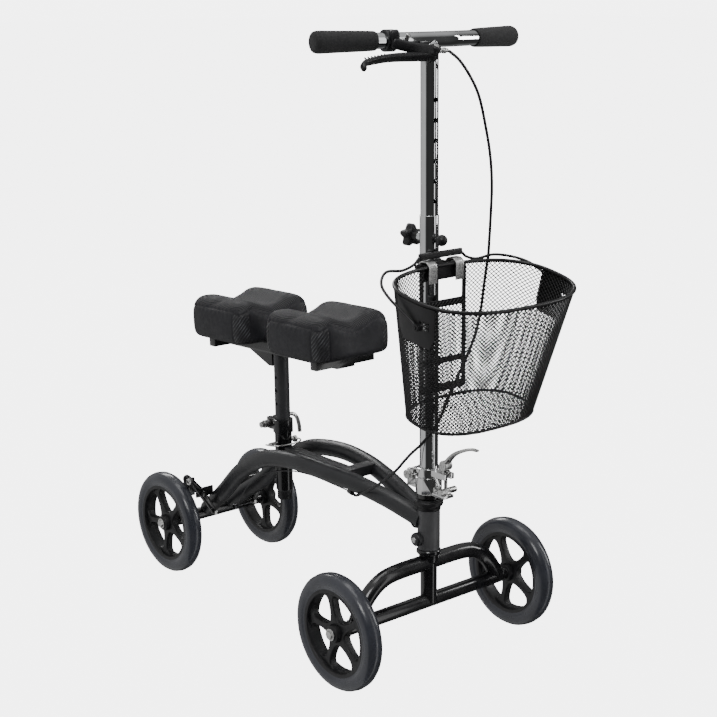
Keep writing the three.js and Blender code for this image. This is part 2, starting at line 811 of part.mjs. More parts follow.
// Lever blade under the perch: from the pivot along the bar to a curled tip.
const leverUnder = -6.8;
const brakeLever = join(
  rod(
    leverPoint(LEVER_PIVOT.x, LEVER_PIVOT.out, leverUnder - 5),
    leverPoint(LEVER_PIVOT.x, LEVER_PIVOT.out, -1.6),
    8,
    14,
  ),
  sweep(
    [
      leverPlane(-19, 36, leverUnder),
      leverPlane(-60, 36, leverUnder),
      leverPlane(-100, 36.5, leverUnder),
      leverPlane(-140, 43, leverUnder),
      leverPlane(-158, 49, leverUnder),
      leverPlane(-166, 60, leverUnder),
    ],
    4.6,
    16,
    10,
  ),
);
part(group(), "brake_lever", brakeLever, BLACK_PLASTIC);

// ---------- brake cable: housing in three stretches, then the bare wire ----------

const cable = group();

const upperRoute = [
  [10.5, -34, 1030],
  [32, -34, 1016],
  [58, -33.5, 988],
  [76, -33, 960],
  [94, -31, 911],
  [109, -28, 859],
  [116, -25, 813],
  [117, -22, 756],
  [115, -20, 696.5],
];
const middleRoute = [
  [115, -20, 696],
  [109, -20.5, 668],
  [95, -23, 603],
  [84, -24.5, 571],
  [64, -27, 538],
  [27, -28, 484],
  [-9.5, -28, 426],
  [-32, -21, 400],
  [-42, -2, 378],
  [-44, 12, 363],
];
const lowerRoute = [
  [-44.1, 12.4, 362.6],
  [-46, 33, 340],
  [-49, 82, 301],
  [-50, 118, 279],
  [-44, 142, 267.5],
  [-32.3, 165.2, 262.6],
];
const wireRoute = [
  [-28.4, 181.6, 262.5],
  [-28, 230, 264],
  [-30, 290, 266],
  [-33, 350, 260],
  [-34, 420, 238],
  [-22, 500, 190],
  [-6, 558, 138],
  [0, 576, 124],
];
part(cable, "brake_cable_upper", sweep(upperRoute, CABLE_R, 28, 8), BLACK_PLASTIC);
part(cable, "brake_cable_middle", sweep(middleRoute, CABLE_R, 28, 8), BLACK_PLASTIC);
part(cable, "brake_cable_lower", sweep(lowerRoute, CABLE_R, 18, 8), BLACK_PLASTIC);

// The bare wire ends in a yoke on the cross wire, whose hooked ends draw the brake arms together.
const crossWireY = BRAKE_ARM_Y - 4;
const brakeWire = join(
  sweep(wireRoute, WIRE_R, 26, 6),
  block([-4, crossWireY - 6, BRAKE_TAIL.z - 4], [4, crossWireY + 3, BRAKE_TAIL.z + 6]),
  rodX(-BRAKE_TAIL.x, BRAKE_TAIL.x, crossWireY, BRAKE_TAIL.z, WIRE_R, 8),
  ...[-1, 1].map((side) =>
    rodY(crossWireY - 1, BRAKE_ARM_Y + 2, side * BRAKE_TAIL.x, BRAKE_TAIL.z, WIRE_R, 8),
  ),
);
part(cable, "brake_wire", brakeWire, CHROME);

// ---------- basket ----------

const basket = group();

const mix = (a, b, t) => a + (b - a) * t;

// A point on the basket's wall: turn goes round it, t runs from the floor (0) to the rim (1).
function basketPoint(turn, t, inset = 0) {
  const half = mix(BASKET.floorHalf, BASKET.rimHalf, t) - inset;
  const front = mix(BASKET.floorFront, BASKET.rimFront, t) + inset;
  const back = BASKET.back - inset;
  const [x, dy] = roundedPoint(turn, half, (back - front) / 2, 2.6);
  const y = (back + front) / 2 + dy;
  const z = mix(BASKET.floorZ, BASKET.rimZ, t) + BASKET.tilt * (y - BASKET.back);
  return v3(x, y, z);
}

const BASKET_POINTS = 32;
const basketTurn = (i) => (i / BASKET_POINTS) * 2 * Math.PI;
const basketRing = (t, inset, lift = 0) =>
  Array.from({ length: BASKET_POINTS }, (_, i) => {
    const p = basketPoint(basketTurn(i), t, inset);
    return p.setZ(p.z + lift);
  });
const floorMiddle = (lift) => {
  const y = (BASKET.back + BASKET.floorFront) / 2;
  return v3(0, y, BASKET.floorZ + BASKET.tilt * (y - BASKET.back) + lift);
};
const shellTop = 1 - (RIM_WIRE_R + 0.5) / (BASKET.rimZ - BASKET.floorZ);
const basketShell = cut(
  ringSolid(
    floorMiddle(0),
    [
      basketRing(0, 5),
      basketRing(0.02, 0),
      basketRing(shellTop, 0),
      basketRing(shellTop, BASKET.wall),
      basketRing(0.02, BASKET.wall, 0.6),
      basketRing(0.01, 6, 0.6),
    ],
    floorMiddle(BASKET.wall),
  ),
  block([-42, -50, 640], [42, -28, 672]),
);
part(basket, "basket_shell", basketShell, BLACK_STEEL);

const rimCurve = new THREE.CatmullRomCurve3(basketRing(1, BASKET.wall / 2), true);
const basketRim = solid(new THREE.TubeGeometry(rimCurve, 40, RIM_WIRE_R, 6, true));

// Back frame behind the mesh: a ladder of flat bars whose top meets the rim.
const backY = BASKET.back + GAP + 0.1;
const backFrame = join(
  cut(
    block([-51, backY, 486], [51, backY + 3, BASKET.rimZ]),
    block([-43, -50, 639], [43, -28, 673]),
    block([-43, -50, 543], [43, -28, 627]),
    block([-43, -50, 499], [43, -28, 533]),
  ),
  block([-52, backY - 2.2, BASKET.rimZ - 2.2], [52, backY + 3.1, BASKET.rimZ + 1.4]),
);

// Two strap hooks over the bracket's cross bar.
const hookOutline = [
  [-34.6, 674],
  [-34.6, 697],
  [-32, 702.5],
  [-25, 705.4],
  [-18, 703],
  [-15, 698],
  [-15, 687],
  [-17.6, 687],
  [-17.6, 697],
  [-20, 700.6],
  [-25, 702.4],
  [-30, 700],
  [-32.2, 696],
  [-32.2, 674],
];
const hooks = [-1, 1].map((side) => plate(hookOutline, "yz", side * 29.5 - 9, side * 29.5 + 9));

// A curved side plate outside each wall, with the pivot stud of the carrying handle.
function sidePlate(side) {
  const low = 0.68;
  const rings = [1, 0, -1, -2].map((step) => {
    const turn = side > 0 ? basketTurn(step) : Math.PI - basketTurn(step);
    const inner = (t) => basketPoint(turn, t, -0.5);
    const outer = (t) => basketPoint(turn, t, -3.2);
    return [inner(low), outer(low), outer(1.006), inner(1.006)];
  });
  const centre = (list) => list.reduce((sum, p) => sum.add(p), v3(0, 0, 0)).divideScalar(4);
  const body = ringSolid(centre(rings[0]), rings, centre(rings.at(-1)));
  return join(body, rodX(side * 152.6, side * 164, BAIL_PIVOT.y, BAIL_PIVOT.z, 3, 10));
}
const sidePlates = [-1, 1].map(sidePlate);
part(basket, "basket_frame", join(basketRim, backFrame, ...hooks, ...sidePlates), BLACK_STEEL);

// Carrying handle: a wire bail that leans back over the hooks, with a flat grip in the middle.
const bailHalf = [
  [BAIL_PIVOT.x, BAIL_PIVOT.y, BAIL_PIVOT.z],
  [161, -134, 646],
  [165, -116, 659],
  [167, -94, 673],
  [161, -70, 686],
  [142, -48, 695],
  [116, -31, 699],
  [80, -27, 696],
  [56, -27, 703],
  [44, -27, 712],
];
const bail = cut(
  join(
    sweep(
      [
        ...bailHalf.map(([x, y, z]) => [-x, y, z]),
        [0, -27, 713],
        ...bailHalf.toReversed(),
      ],
      2.6,
      36,
      6,
    ),
    block([-46, -30, 707.2], [46, -24, 718]),
    ...[-1, 1].map((side) =>
      rodX(side * 156.5, side * 162.5, BAIL_PIVOT.y, BAIL_PIVOT.z, 6, 12),
    ),
  ),
  rodX(-180, 180, BAIL_PIVOT.y, BAIL_PIVOT.z, 3.4, 12),
);
part(group(), "basket_handle", bail, BLACK_STEEL);

// ---------- rear brake: two arms and their shoes ----------

// The outline of a straight bar with round ends of two radii, in the XZ plane.
function barOutline(from, to, fromRadius, toRadius) {
  const along = Math.atan2(to.z - from.z, to.x - from.x);
  const cap = (centre, radius, start) =>
    Array.from({ length: 7 }, (_, i) => {
      const turn = start + (i / 6) * Math.PI;
      return [centre.x + radius * Math.cos(turn), centre.z + radius * Math.sin(turn)];
    });
  const half = Math.PI / 2;
  return [...cap(from, fromRadius, along + half), ...cap(to, toRadius, along - half)];
}

for (const [name, side] of SIDES) {
  const [tail, pivot, head] = [BRAKE_TAIL, BRAKE_PIVOT, BRAKE_HEAD].map(({ x, z }) => ({ x: side * x, z }));
  const armBar = (from, to, fromRadius) =>
    plate(barOutline(from, to, fromRadius, 8), "xz", BRAKE_ARM_Y - 2, BRAKE_ARM_Y + 2);
  const arm = cut(
    join(armBar(tail, pivot, 5.2), armBar(pivot, head, 8)),
    rodY(570, 600, pivot.x, pivot.z, 3.5, 12),
    rodY(570, 600, tail.x, tail.z, 2.5, 10),
  );
  const shoeX = [side * 88, side * 101.5];
  const shoe = block([Math.min(...shoeX), 587.3, 164], [Math.max(...shoeX), 609, 192]);
  part(group(), `brake_arm_${name}`, arm, BLACK_STEEL);
  part(group(), `brake_shoe_${name}`, shoe, SHOE_RUBBER);
}

scooter.position.y = -(WHEELBASE + WHEEL_R + BASKET.rimFront - 2) / 2;

export default scooter;
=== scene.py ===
"""The knee scooter's looks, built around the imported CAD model. Metres, in the CAD's own frame."""

import json
import math

import bmesh
import bpy
import numpy as np
from mathutils import Matrix, Vector

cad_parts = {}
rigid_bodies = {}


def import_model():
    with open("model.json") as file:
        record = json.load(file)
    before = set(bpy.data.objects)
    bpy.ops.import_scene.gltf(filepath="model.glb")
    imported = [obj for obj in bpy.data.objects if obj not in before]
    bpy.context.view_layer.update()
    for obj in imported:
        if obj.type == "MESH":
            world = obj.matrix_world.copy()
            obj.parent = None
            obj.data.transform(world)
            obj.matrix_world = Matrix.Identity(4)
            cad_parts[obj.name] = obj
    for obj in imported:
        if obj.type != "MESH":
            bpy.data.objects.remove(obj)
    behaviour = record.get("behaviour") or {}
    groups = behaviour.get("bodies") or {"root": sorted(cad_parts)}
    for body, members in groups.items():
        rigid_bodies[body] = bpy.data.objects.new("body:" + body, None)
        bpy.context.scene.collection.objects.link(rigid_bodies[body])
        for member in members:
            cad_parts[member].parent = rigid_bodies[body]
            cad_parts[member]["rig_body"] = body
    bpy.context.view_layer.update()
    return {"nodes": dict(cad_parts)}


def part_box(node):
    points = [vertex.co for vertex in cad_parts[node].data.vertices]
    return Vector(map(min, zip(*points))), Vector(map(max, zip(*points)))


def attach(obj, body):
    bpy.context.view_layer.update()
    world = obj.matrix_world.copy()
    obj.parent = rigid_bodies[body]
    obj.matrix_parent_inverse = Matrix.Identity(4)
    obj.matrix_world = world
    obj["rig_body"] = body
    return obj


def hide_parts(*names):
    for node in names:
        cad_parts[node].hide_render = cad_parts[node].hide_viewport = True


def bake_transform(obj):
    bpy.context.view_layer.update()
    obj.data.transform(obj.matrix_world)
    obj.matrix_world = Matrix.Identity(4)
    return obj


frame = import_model()

MM = 0.001
X, Y, Z = (1, 0, 0), (0, 1, 0), (0, 0, 1)
scene = bpy.context.scene

# The CAD is drawn about the column's axis and then shifted along Y: this is where that axis ends up.
column_lo, column_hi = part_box("column_tube")
mast_lo, mast_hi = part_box("mast_inner_tube")
AXIS_Y = (mast_lo.y + mast_hi.y) / 2


def at(x, y, z):
    """A point given in millimetres about the column's axis, in the row frame in metres."""
    return Vector((x * MM, y * MM + AXIS_Y, z * MM))


# ---------- camera, lights, floor ----------

# Brightness round the horizon, against the share of a full turn: soft boxes with dark gaps between.
STUDIO_RING = [
    (0.0, 0.7),
    (0.02, 0.1),
    (0.05, 0.05),
    (0.15, 0.06),
    (0.29, 0.05),
    (0.305, 0.1),
    (0.312, 2.6),
    (0.34, 2.6),
    (0.347, 0.12),
    (0.42, 0.05),
    (0.5, 0.06),
    (0.56, 0.25),
    (0.66, 0.12),
    (0.73, 0.5),
    (0.78, 0.8),
    (0.9, 0.85),
    (0.97, 0.9),
    (1.0, 0.7),
]


def make_camera():
    data = bpy.data.cameras.new("camera")
    data.sensor_width = 36
    data.lens = 75.28
    data.shift_x = -0.0862
    data.shift_y = 0.1042
    data.clip_end = 200
    camera = bpy.data.objects.new("camera", data)
    scene.collection.objects.link(camera)
    camera.location = at(-1627, -1790, 1133)
    camera.rotation_mode = "QUATERNION"
    look = at(0, 21.7, 400) - camera.location
    camera.rotation_quaternion = look.to_track_quat("-Z", "Y")
    scene.camera = camera


def area_light(name, place, aim, size, watts):
    data = bpy.data.lights.new(name, "AREA")
    data.shape = "RECTANGLE"
    data.size, data.size_y = size
    data.energy = watts
    light = bpy.data.objects.new(name, data)
    scene.collection.objects.link(light)
    light.location = place
    light.rotation_mode = "QUATERNION"
    light.rotation_quaternion = (Vector(aim) - Vector(place)).to_track_quat("-Z", "Y")


def make_studio():
    area_light("key_light", (-2.6, -2.4, 3.4), (0, 0, 0.5), (1.6, 1.6), 60)
    area_light("side_light", (3.0, -1.8, 1.6), (0, 0, 0.5), (0.35, 2.4), 28)
    area_light("back_light", (1.2, 3.4, 2.6), (0, 0, 0.5), (2.0, 0.8), 40)
    area_light("top_light", (0, 0, 4.2), (0, 0, 0), (2.4, 2.4), 40)
    world = bpy.data.worlds.new("studio")
    scene.world = world
    world.use_nodes = True
    tree = world.node_tree
    tree.nodes.clear()
    out = tree.nodes.new("ShaderNodeOutputWorld")
    background = tree.nodes.new("ShaderNodeBackground")
    background.inputs["Strength"].default_value = 0.62
    plain = tree.nodes.new("ShaderNodeBackground")
    plain.inputs["Color"].default_value = (0.98, 0.98, 0.985, 1)
    plain.inputs["Strength"].default_value = 5.4
    coordinates = tree.nodes.new("ShaderNodeTexCoord")
    gradient = tree.nodes.new("ShaderNodeTexGradient")
    gradient.gradient_type = "RADIAL"
    ramp = tree.nodes.new("ShaderNodeValToRGB")
    elements = ramp.color_ramp.elements
    for place, level in STUDIO_RING[1:-1]:
        elements.new(place).color = (level, level, level, 1)
    elements[0].color = elements[-1].color = (STUDIO_RING[0][1],) * 3 + (1,)
    direction = tree.nodes.new("ShaderNodeSeparateXYZ")
    overhead = tree.nodes.new("ShaderNodeMapRange")
    overhead.inputs["From Min"].default_value = 0.4
    overhead.inputs["From Max"].default_value = 0.8
    overhead.inputs["To Max"].default_value = 0.85
    sky = tree.nodes.new("ShaderNodeMixRGB")
    sky.inputs["Color2"].default_value = (1, 1, 1, 1)
    path = tree.nodes.new("ShaderNodeLightPath")
    mix = tree.nodes.new("ShaderNodeMixShader")
    link = tree.links.new
    link(coordinates.outputs["Generated"], gradient.inputs["Vector"])
    link(gradient.outputs["Fac"], ramp.inputs["Fac"])
    link(coordinates.outputs["Generated"], direction.inputs["Vector"])
    link(direction.outputs["Z"], overhead.inputs["Value"])
    link(overhead.outputs["Result"], sky.inputs["Fac"])
    link(ramp.outputs["Color"], sky.inputs["Color1"])
    link(sky.outputs["Color"], background.inputs["Color"])
    link(path.outputs["Is Camera Ray"], mix.inputs[0])
    link(background.outputs[0], mix.inputs[1])
    link(plain.outputs[0], mix.inputs[2])
    link(mix.outputs[0], out.inputs["Surface"])


# ---------- procedural materials ----------


class Shader:
    """A Principled material with object-space textures; lengths are in metres."""

    def __init__(self, name, color, roughness, **constants):
        self.material = bpy.data.materials.new(name)
        self.material.use_nodes = True
        self.tree = self.material.node_tree
        self.shader = self.tree.nodes["Principled BSDF"]
        self.color = color
        self.set("Base Color", (*color, 1))
        self.set("Roughness", roughness)
        for socket, value in constants.items():
            self.set(socket.replace("_", " "), value)
        self.place = self.tree.nodes.new("ShaderNodeTexCoord").outputs["Object"]
        self.height = None

    def set(self, socket, value):
        self.shader.inputs[socket].default_value = value

    def link(self, a, b):
        self.tree.links.new(a, b)

    def stretched(self, scale):
        node = self.tree.nodes.new("ShaderNodeMapping")
        node.inputs["Scale"].default_value = scale
        self.link(self.place, node.inputs["Vector"])
        return node.outputs["Vector"]

    def noise(self, size, detail=3.0, stretch=None):
        node = self.tree.nodes.new("ShaderNodeTexNoise")
        node.inputs["Scale"].default_value = 1 / size
        node.inputs["Detail"].default_value = detail
        self.link(self.stretched(stretch) if stretch else self.place, node.inputs["Vector"])
        return node.outputs["Fac"]

    def cells(self, size):
        node = self.tree.nodes.new("ShaderNodeTexVoronoi")
        node.inputs["Scale"].default_value = 1 / size
        self.link(self.place, node.inputs["Vector"])
        return node.outputs["Distance"]

    def stripes(self, pitch, direction):
        """Even waves, 0 to 1, along a direction: one every pitch metres."""
        along = self.tree.nodes.new("ShaderNodeVectorMath")
        along.operation = "DOT_PRODUCT"
        unit = Vector(direction).normalized() * (2 * math.pi / pitch)
        along.inputs[1].default_value = unit
        self.link(self.place, along.inputs[0])
        return self.math("MULTIPLY_ADD", self.math("SINE", along.outputs["Value"], 0), 0.5, 0.5)

    def math(self, operation, a, b, c=None):
        node = self.tree.nodes.new("ShaderNodeMath")
        node.operation = operation
        for value, socket in zip((a, b, c), node.inputs):
            if value is None:
                continue
            if isinstance(value, (int, float)):
                socket.default_value = value
            else:
                self.link(value, socket)
        return node.outputs[0]

    def spread(self, value, low, high, start=0.3, end=0.7):
        node = self.tree.nodes.new("ShaderNodeMapRange")
        node.inputs["From Min"].default_value = start
        node.inputs["From Max"].default_value = end
        node.inputs["To Min"].default_value = low
        node.inputs["To Max"].default_value = high
        self.link(value, node.inputs["Value"])
        return node.outputs["Result"]

    def vary_color(self, value, other, start=0.3, end=0.7):
        node = self.tree.nodes.new("ShaderNodeMix")
        node.data_type = "RGBA"
        node.inputs["A"].default_value = (*self.color, 1)
        node.inputs["B"].default_value = (*other, 1)
        self.link(self.spread(value, 0, 1, start, end), node.inputs["Factor"])
        self.link(node.outputs["Result"], self.shader.inputs["Base Color"])
        return self

    def vary_roughness(self, value, low, high, start=0.3, end=0.7):
        self.link(self.spread(value, low, high, start, end), self.shader.inputs["Roughness"])
        return self

    def bump(self, value, depth):
        node = self.tree.nodes.new("ShaderNodeBump")
        node.inputs["Distance"].default_value = depth
        self.link(value, node.inputs["Height"])
        if self.height:
            self.link(self.height, node.inputs["Normal"])
        self.height = node.outputs["Normal"]
        self.link(self.height, self.shader.inputs["Normal"])
        return self


def powder_coat(name, color, lighter, roughness):
    s = Shader(name, color, roughness, Coat_Weight=0.12, Coat_Roughness=0.2)
    s.vary_color(s.noise(0.05, 4), lighter)
    s.vary_roughness(s.noise(0.018, 3), roughness - 0.05, roughness + 0.09)
    return s.bump(s.noise(0.0011, 2), 0.00006).bump(s.noise(0.006, 2), 0.00005).material


def gloss_enamel(name, color, lighter):
    s = Shader(name, color, 0.2, Coat_Weight=0.6, Coat_Roughness=0.08)
    s.vary_color(s.noise(0.06, 4), lighter)
    s.vary_roughness(s.noise(0.02, 4), 0.16, 0.3)
    return s.bump(s.noise(0.003, 2), 0.00005).material


def chrome_plate(name, color, roughness, wave=0.00002):
    s = Shader(name, color, roughness, Metallic=1.0)
    s.vary_color(s.noise(0.03, 3), tuple(c * 0.9 for c in color))
    s.vary_roughness(s.noise(0.012, 5), roughness * 0.7, roughness * 1.7)
    s.bump(s.noise(0.05, 2), wave * 8)
    return s.bump(s.noise(0.004, 3, stretch=(1, 1, 0.08)), wave).material


def brushed_zinc(name, color):
    s = Shader(name, color, 0.3, Metallic=1.0)
    s.vary_color(s.noise(0.006, 4), tuple(c * 0.72 for c in color))
    s.vary_roughness(s.noise(0.003, 4), 0.22, 0.42)
    return s.bump(s.noise(0.0009, 3), 0.00004).material


def moulded_plastic(name, color, roughness, grain=0.0009):
    s = Shader(name, color, roughness)
    s.vary_color(s.noise(0.03, 4), tuple(c * 1.7 for c in color))
    s.vary_roughness(s.noise(0.008, 4), roughness - 0.08, roughness + 0.1)
    return s.bump(s.noise(grain, 2), 0.00007).bump(s.noise(0.01, 2), 0.0001).material


def tyre_rubber():
    s = Shader("tyre_rubber", (0.04, 0.043, 0.056), 0.36, Coat_Weight=0.5, Coat_Roughness=0.12)
    s.vary_color(s.noise(0.05, 4), (0.026, 0.028, 0.036))
    s.vary_roughness(s.noise(0.015, 5), 0.24, 0.44)
    return s.bump(s.noise(0.002, 3), 0.00004).bump(s.noise(0.02, 2), 0.00018).material


def foam_rubber():
    s = Shader("foam_rubber", (0.009, 0.009, 0.01), 0.8, Sheen_Weight=0.1, Sheen_Roughness=0.5)
    s.vary_color(s.noise(0.0015, 4), (0.02, 0.02, 0.021))
    s.vary_roughness(s.noise(0.004, 3), 0.66, 0.92)
    return s.bump(s.cells(0.0013), 0.00025).bump(s.noise(0.006, 3), 0.0002).material


def pad_vinyl():
    s = Shader("pad_vinyl", (0.009, 0.009, 0.012), 0.48)
    s.vary_color(s.noise(0.025, 5), (0.014, 0.014, 0.018))
    s.vary_roughness(s.noise(0.006, 4), 0.42, 0.6)
    return s.bump(s.cells(0.0016), 0.0002).bump(s.noise(0.012, 3), 0.0004).material


def pad_ribbed():
    """The pad's top: close ribs broken into fine dots."""
    s = Shader("pad_ribbed", (0.008, 0.008, 0.01), 0.55)
    dots = s.math("MULTIPLY", s.stripes(0.0034, (1, 0.35, 0)), s.stripes(0.0026, (-0.35, 1, 0)))
    s.vary_color(dots, (0.036, 0.036, 0.039), 0.2, 0.85)
    s.vary_roughness(dots, 0.7, 0.45, 0.1, 0.9)
    return s.bump(dots, 0.0004).bump(s.noise(0.01, 3), 0.0003).material


def pad_weave():
    """The pad's corner inserts: fine pale diagonals in a dark twill."""
    s = Shader("pad_weave", (0.013, 0.013, 0.015), 0.45, Coat_Weight=0.2, Coat_Roughness=0.25)
    diagonal = s.stripes(0.0046, (-1, 1, 1))
    thread = s.stripes(0.0011, (1, -1, 1))
    s.vary_color(
        s.math("MULTIPLY", diagonal, s.spread(s.noise(0.02, 3), 0.5, 1)), (0.11, 0.113, 0.122), 0.6,
        0.98,
    )
    s.vary_roughness(diagonal, 0.58, 0.34, 0.2, 0.9)
    return s.bump(diagonal, 0.0005).bump(thread, 0.00012).material


def shoe_rubber():
    s = Shader("shoe_rubber", (0.13, 0.135, 0.14), 0.75)
    s.vary_color(s.noise(0.008, 5), (0.08, 0.082, 0.086))
    s.vary_roughness(s.noise(0.003, 4), 0.62, 0.88)
    return s.bump(s.noise(0.0012, 4), 0.0002).material


def floor_paint():
    """A pale studio floor that glows a little, as a floor lit from below does."""
    s = Shader("floor_paint", (0.9, 0.9, 0.905), 0.9, Specular_IOR_Level=0.1)
    s.vary_color(s.noise(1.6, 2), (0.89, 0.89, 0.895))
    glow = s.tree.nodes.new("ShaderNodeEmission")
    glow.inputs["Color"].default_value = (0.98, 0.98, 0.985, 1)
    glow.inputs["Strength"].default_value = 6.5
    path = s.tree.nodes.new("ShaderNodeLightPath")
    share = s.math("MULTIPLY", path.outputs["Is Camera Ray"], 0.8)
    blend = s.tree.nodes.new("ShaderNodeMixShader")
    s.link(share, blend.inputs[0])
    s.link(s.shader.outputs[0], blend.inputs[1])
    s.link(glow.outputs[0], blend.inputs[2])
    # Mirror-like pieces see the studio ring through the floor, so their streaks run their full height.
    clear = s.tree.nodes.new("ShaderNodeBsdfTransparent")
    mirrored = s.tree.nodes.new("ShaderNodeMixShader")
    s.link(path.outputs["Is Glossy Ray"], mirrored.inputs[0])
    s.link(blend.outputs[0], mirrored.inputs[1])
    s.link(clear.outputs[0], mirrored.inputs[2])
    s.link(mirrored.outputs[0], s.tree.nodes["Material Output"].inputs["Surface"])
    return s.material


POWDER = powder_coat("rail_powder_coat", (0.016, 0.0165, 0.018), (0.026, 0.027, 0.03), 0.36)
HEAD_POWDER = powder_coat("head_powder_coat", (0.05, 0.05, 0.053), (0.085, 0.086, 0.09), 0.42)
POST_POWDER = powder_coat("post_powder_coat", (0.03, 0.031, 0.034), (0.046, 0.047, 0.05), 0.42)
MESH_COAT = powder_coat("mesh_powder_coat", (0.005, 0.005, 0.006), (0.01, 0.01, 0.011), 0.42)
ENAMEL = gloss_enamel("black_enamel", (0.005, 0.005, 0.006), (0.011, 0.011, 0.012))
CHROME = chrome_plate("chrome_plate", (0.8, 0.81, 0.82), 0.06)
CAST_CHROME = chrome_plate("cast_chrome", (0.9, 0.9, 0.9), 0.12, 0.00006)
ZINC = brushed_zinc("zinc_plate", (0.78, 0.78, 0.77))
STEEL = brushed_zinc("wire_steel", (0.1, 0.1, 0.105))
BLACK_PLASTIC = moulded_plastic("black_plastic", (0.008, 0.008, 0.009), 0.4)
WHEEL_NYLON = moulded_plastic("wheel_nylon", (0.008, 0.008, 0.009), 0.42)
CABLE_SKIN = moulded_plastic("cable_skin", (0.01, 0.01, 0.011), 0.3, 0.0005)
TYRE = tyre_rubber()
# The tyre dots' pale grey is a painted highlight: the small sidewall bumps are real, but they are
# coloured lighter than the tyre to stand in for the glints they catch.
TYRE_DOT_GLINT = moulded_plastic("tyre_dot_painted_glint", (0.3, 0.3, 0.31), 0.4)
FOAM = foam_rubber()
VINYL = pad_vinyl()
RIBBED = pad_ribbed()
WEAVE = pad_weave()
SHOE = shoe_rubber()

# ---------- mesh helpers ----------


def smooth_with_creases(mesh, angle=38):
    """Smooth shading that breaks at every edge sharper than the angle, in degrees."""
    bm = bmesh.new()
    bm.from_mesh(mesh)
    bmesh.ops.recalc_face_normals(bm, faces=bm.faces)
    limit = math.radians(angle)
    for face in bm.faces:
        face.smooth = True
    for edge in bm.edges:
        edge.smooth = edge.is_manifold and edge.calc_face_angle(0) < limit
    bm.to_mesh(mesh)
    bm.free()


def place(obj, material, body, stands_for=(), slot=None):
    """Puts a finished object on a body, with its material and the CAD nodes it stands for."""
    if not obj.data.materials:
        obj.data.materials.append(material)
    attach(obj, body)
    if stands_for:
        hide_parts(*stands_for)
    return obj


def new_object(name, points, faces, crease=38):
    mesh = bpy.data.meshes.new(name)
    mesh.from_pydata([tuple(p) for p in points], [], [tuple(f) for f in faces])
    smooth_with_creases(mesh, crease)
    obj = bpy.data.objects.new(name, mesh)
    scene.collection.objects.link(obj)
    return obj


def apply_modifiers(obj):
    bpy.context.view_layer.update()
    evaluated = obj.evaluated_get(bpy.context.evaluated_depsgraph_get())
    mesh = bpy.data.meshes.new_from_object(evaluated)
    obj.modifiers.clear()
    obj.data = mesh
    return obj


def merged(name, parts, crease=38):
    """One object from several, whose meshes are simply put together."""
    bm = bmesh.new()
    for part in parts:
        bm.from_mesh(part.data)
    mesh = bpy.data.meshes.new(name)
    bm.to_mesh(mesh)
    bm.free()
    for part in parts:
        bpy.data.objects.remove(part)
    smooth_with_creases(mesh, crease)
    obj = bpy.data.objects.new(name, mesh)
    scene.collection.objects.link(obj)
    return obj


def curve_through(points, per_span=10, closed=False):
    """Points on the smooth centripetal curve through the given ones."""
    p = [Vector(q) for q in points]
    count = len(p)
    spans = count if closed else count - 1
    out = []
    for i in range(spans):
        b, c = p[i], p[(i + 1) % count]
        a = p[i - 1] if (i or closed) else b * 2 - c
        d = p[(i + 2) % count] if (closed or i + 2 < count) else c * 2 - b
        t = [0.0]
        for one, two in ((a, b), (b, c), (c, d)):
            t.append(t[-1] + max((two - one).length, 1e-6) ** 0.5)
        for k in range(per_span):
            u = t[1] + (t[2] - t[1]) * k / per_span
            ab = a.lerp(b, u / t[1])
            bc = b.lerp(c, (u - t[1]) / (t[2] - t[1]))
            cd = c.lerp(d, (u - t[2]) / (t[3] - t[2]))
            abc = ab.lerp(bc, u / t[2])
            bcd = bc.lerp(cd, (u - t[1]) / (t[3] - t[1]))
            out.append(abc.lerp(bcd, (u - t[1]) / (t[2] - t[1])))
    if not closed:
        out.append(p[-1])
    return out


def oval(count, half_a, half_b, power=2.0):
    turns = np.arange(count) * 2 * math.pi / count
    c, s = np.cos(turns), np.sin(turns)
    a = half_a * np.sign(c) * np.abs(c) ** (2 / power)
    b = half_b * np.sign(s) * np.abs(s) ** (2 / power)
    return np.stack([a, b], 1)


def sweep(name, path, section, up=(0, 0, 1), closed=False, dome=0.0, sides=32, crease=38):
    """A skin along a path. section is a radius, or a function of how far along (0 to 1) that gives
    the half sizes across and along up, and the squareness. dome rounds the ends, as a share."""
    path = [Vector(q) for q in path]
    count = len(path)
    if not callable(section):
        radius = section
        section = lambda _: (radius, radius, 2.0)
    tangents = []
    for i in range(count):
        before = path[i - 1] if (i or closed) else path[0]
        after = path[(i + 1) % count] if (closed or i + 1 < count) else path[-1]
        tangents.append((after - before).normalized())
    normal = Vector(up) - tangents[0] * tangents[0].dot(Vector(up))
    if normal.length < 1e-3:
        normal = tangents[0].orthogonal()
    normal.normalize()
    points, faces = [], []

    def ring(centre, tangent, across, half, power, scale):
        side = tangent.cross(across)
        for a, b in oval(sides, half[0] * scale, half[1] * scale, power):
            points.append(centre + side * a + across * b)

    rings = 0
    for i, (centre, tangent) in enumerate(zip(path, tangents)):
        if i:
            turn = tangents[i - 1].rotation_difference(tangent)
            normal = turn @ normal
            normal = (normal - tangent * tangent.dot(normal)).normalized()
        a, b, power = section(i / max(count - 1, 1))
        if i == 0 and not closed and dome:
            for k in range(4):
                x = (k + 1) / 5 * math.pi / 2
                back = tangent * (dome * min(a, b) * math.cos(x))
                ring(centre - back, tangent, normal, (a, b), power, math.sin(x))
                rings += 1
        ring(centre, tangent, normal, (a, b), power, 1.0)
        rings += 1
        if i == count - 1 and not closed and dome:
            for k in range(3, -1, -1):
                x = (k + 1) / 5 * math.pi / 2
                ahead = tangent * (dome * min(a, b) * math.cos(x))
                ring(centre + ahead, tangent, normal, (a, b), power, math.sin(x))
                rings += 1
    for r in range(rings if closed else rings - 1):
        n = (r + 1) % rings
        for i in range(sides):
            j = (i + 1) % sides
            faces.append((r * sides + i, r * sides + j, n * sides + j, n * sides + i))
    if not closed:
        faces.append(tuple(range(sides)))
        faces.append(tuple((rings - 1) * sides + i for i in range(sides)))
    return new_object(name, points, faces, crease)


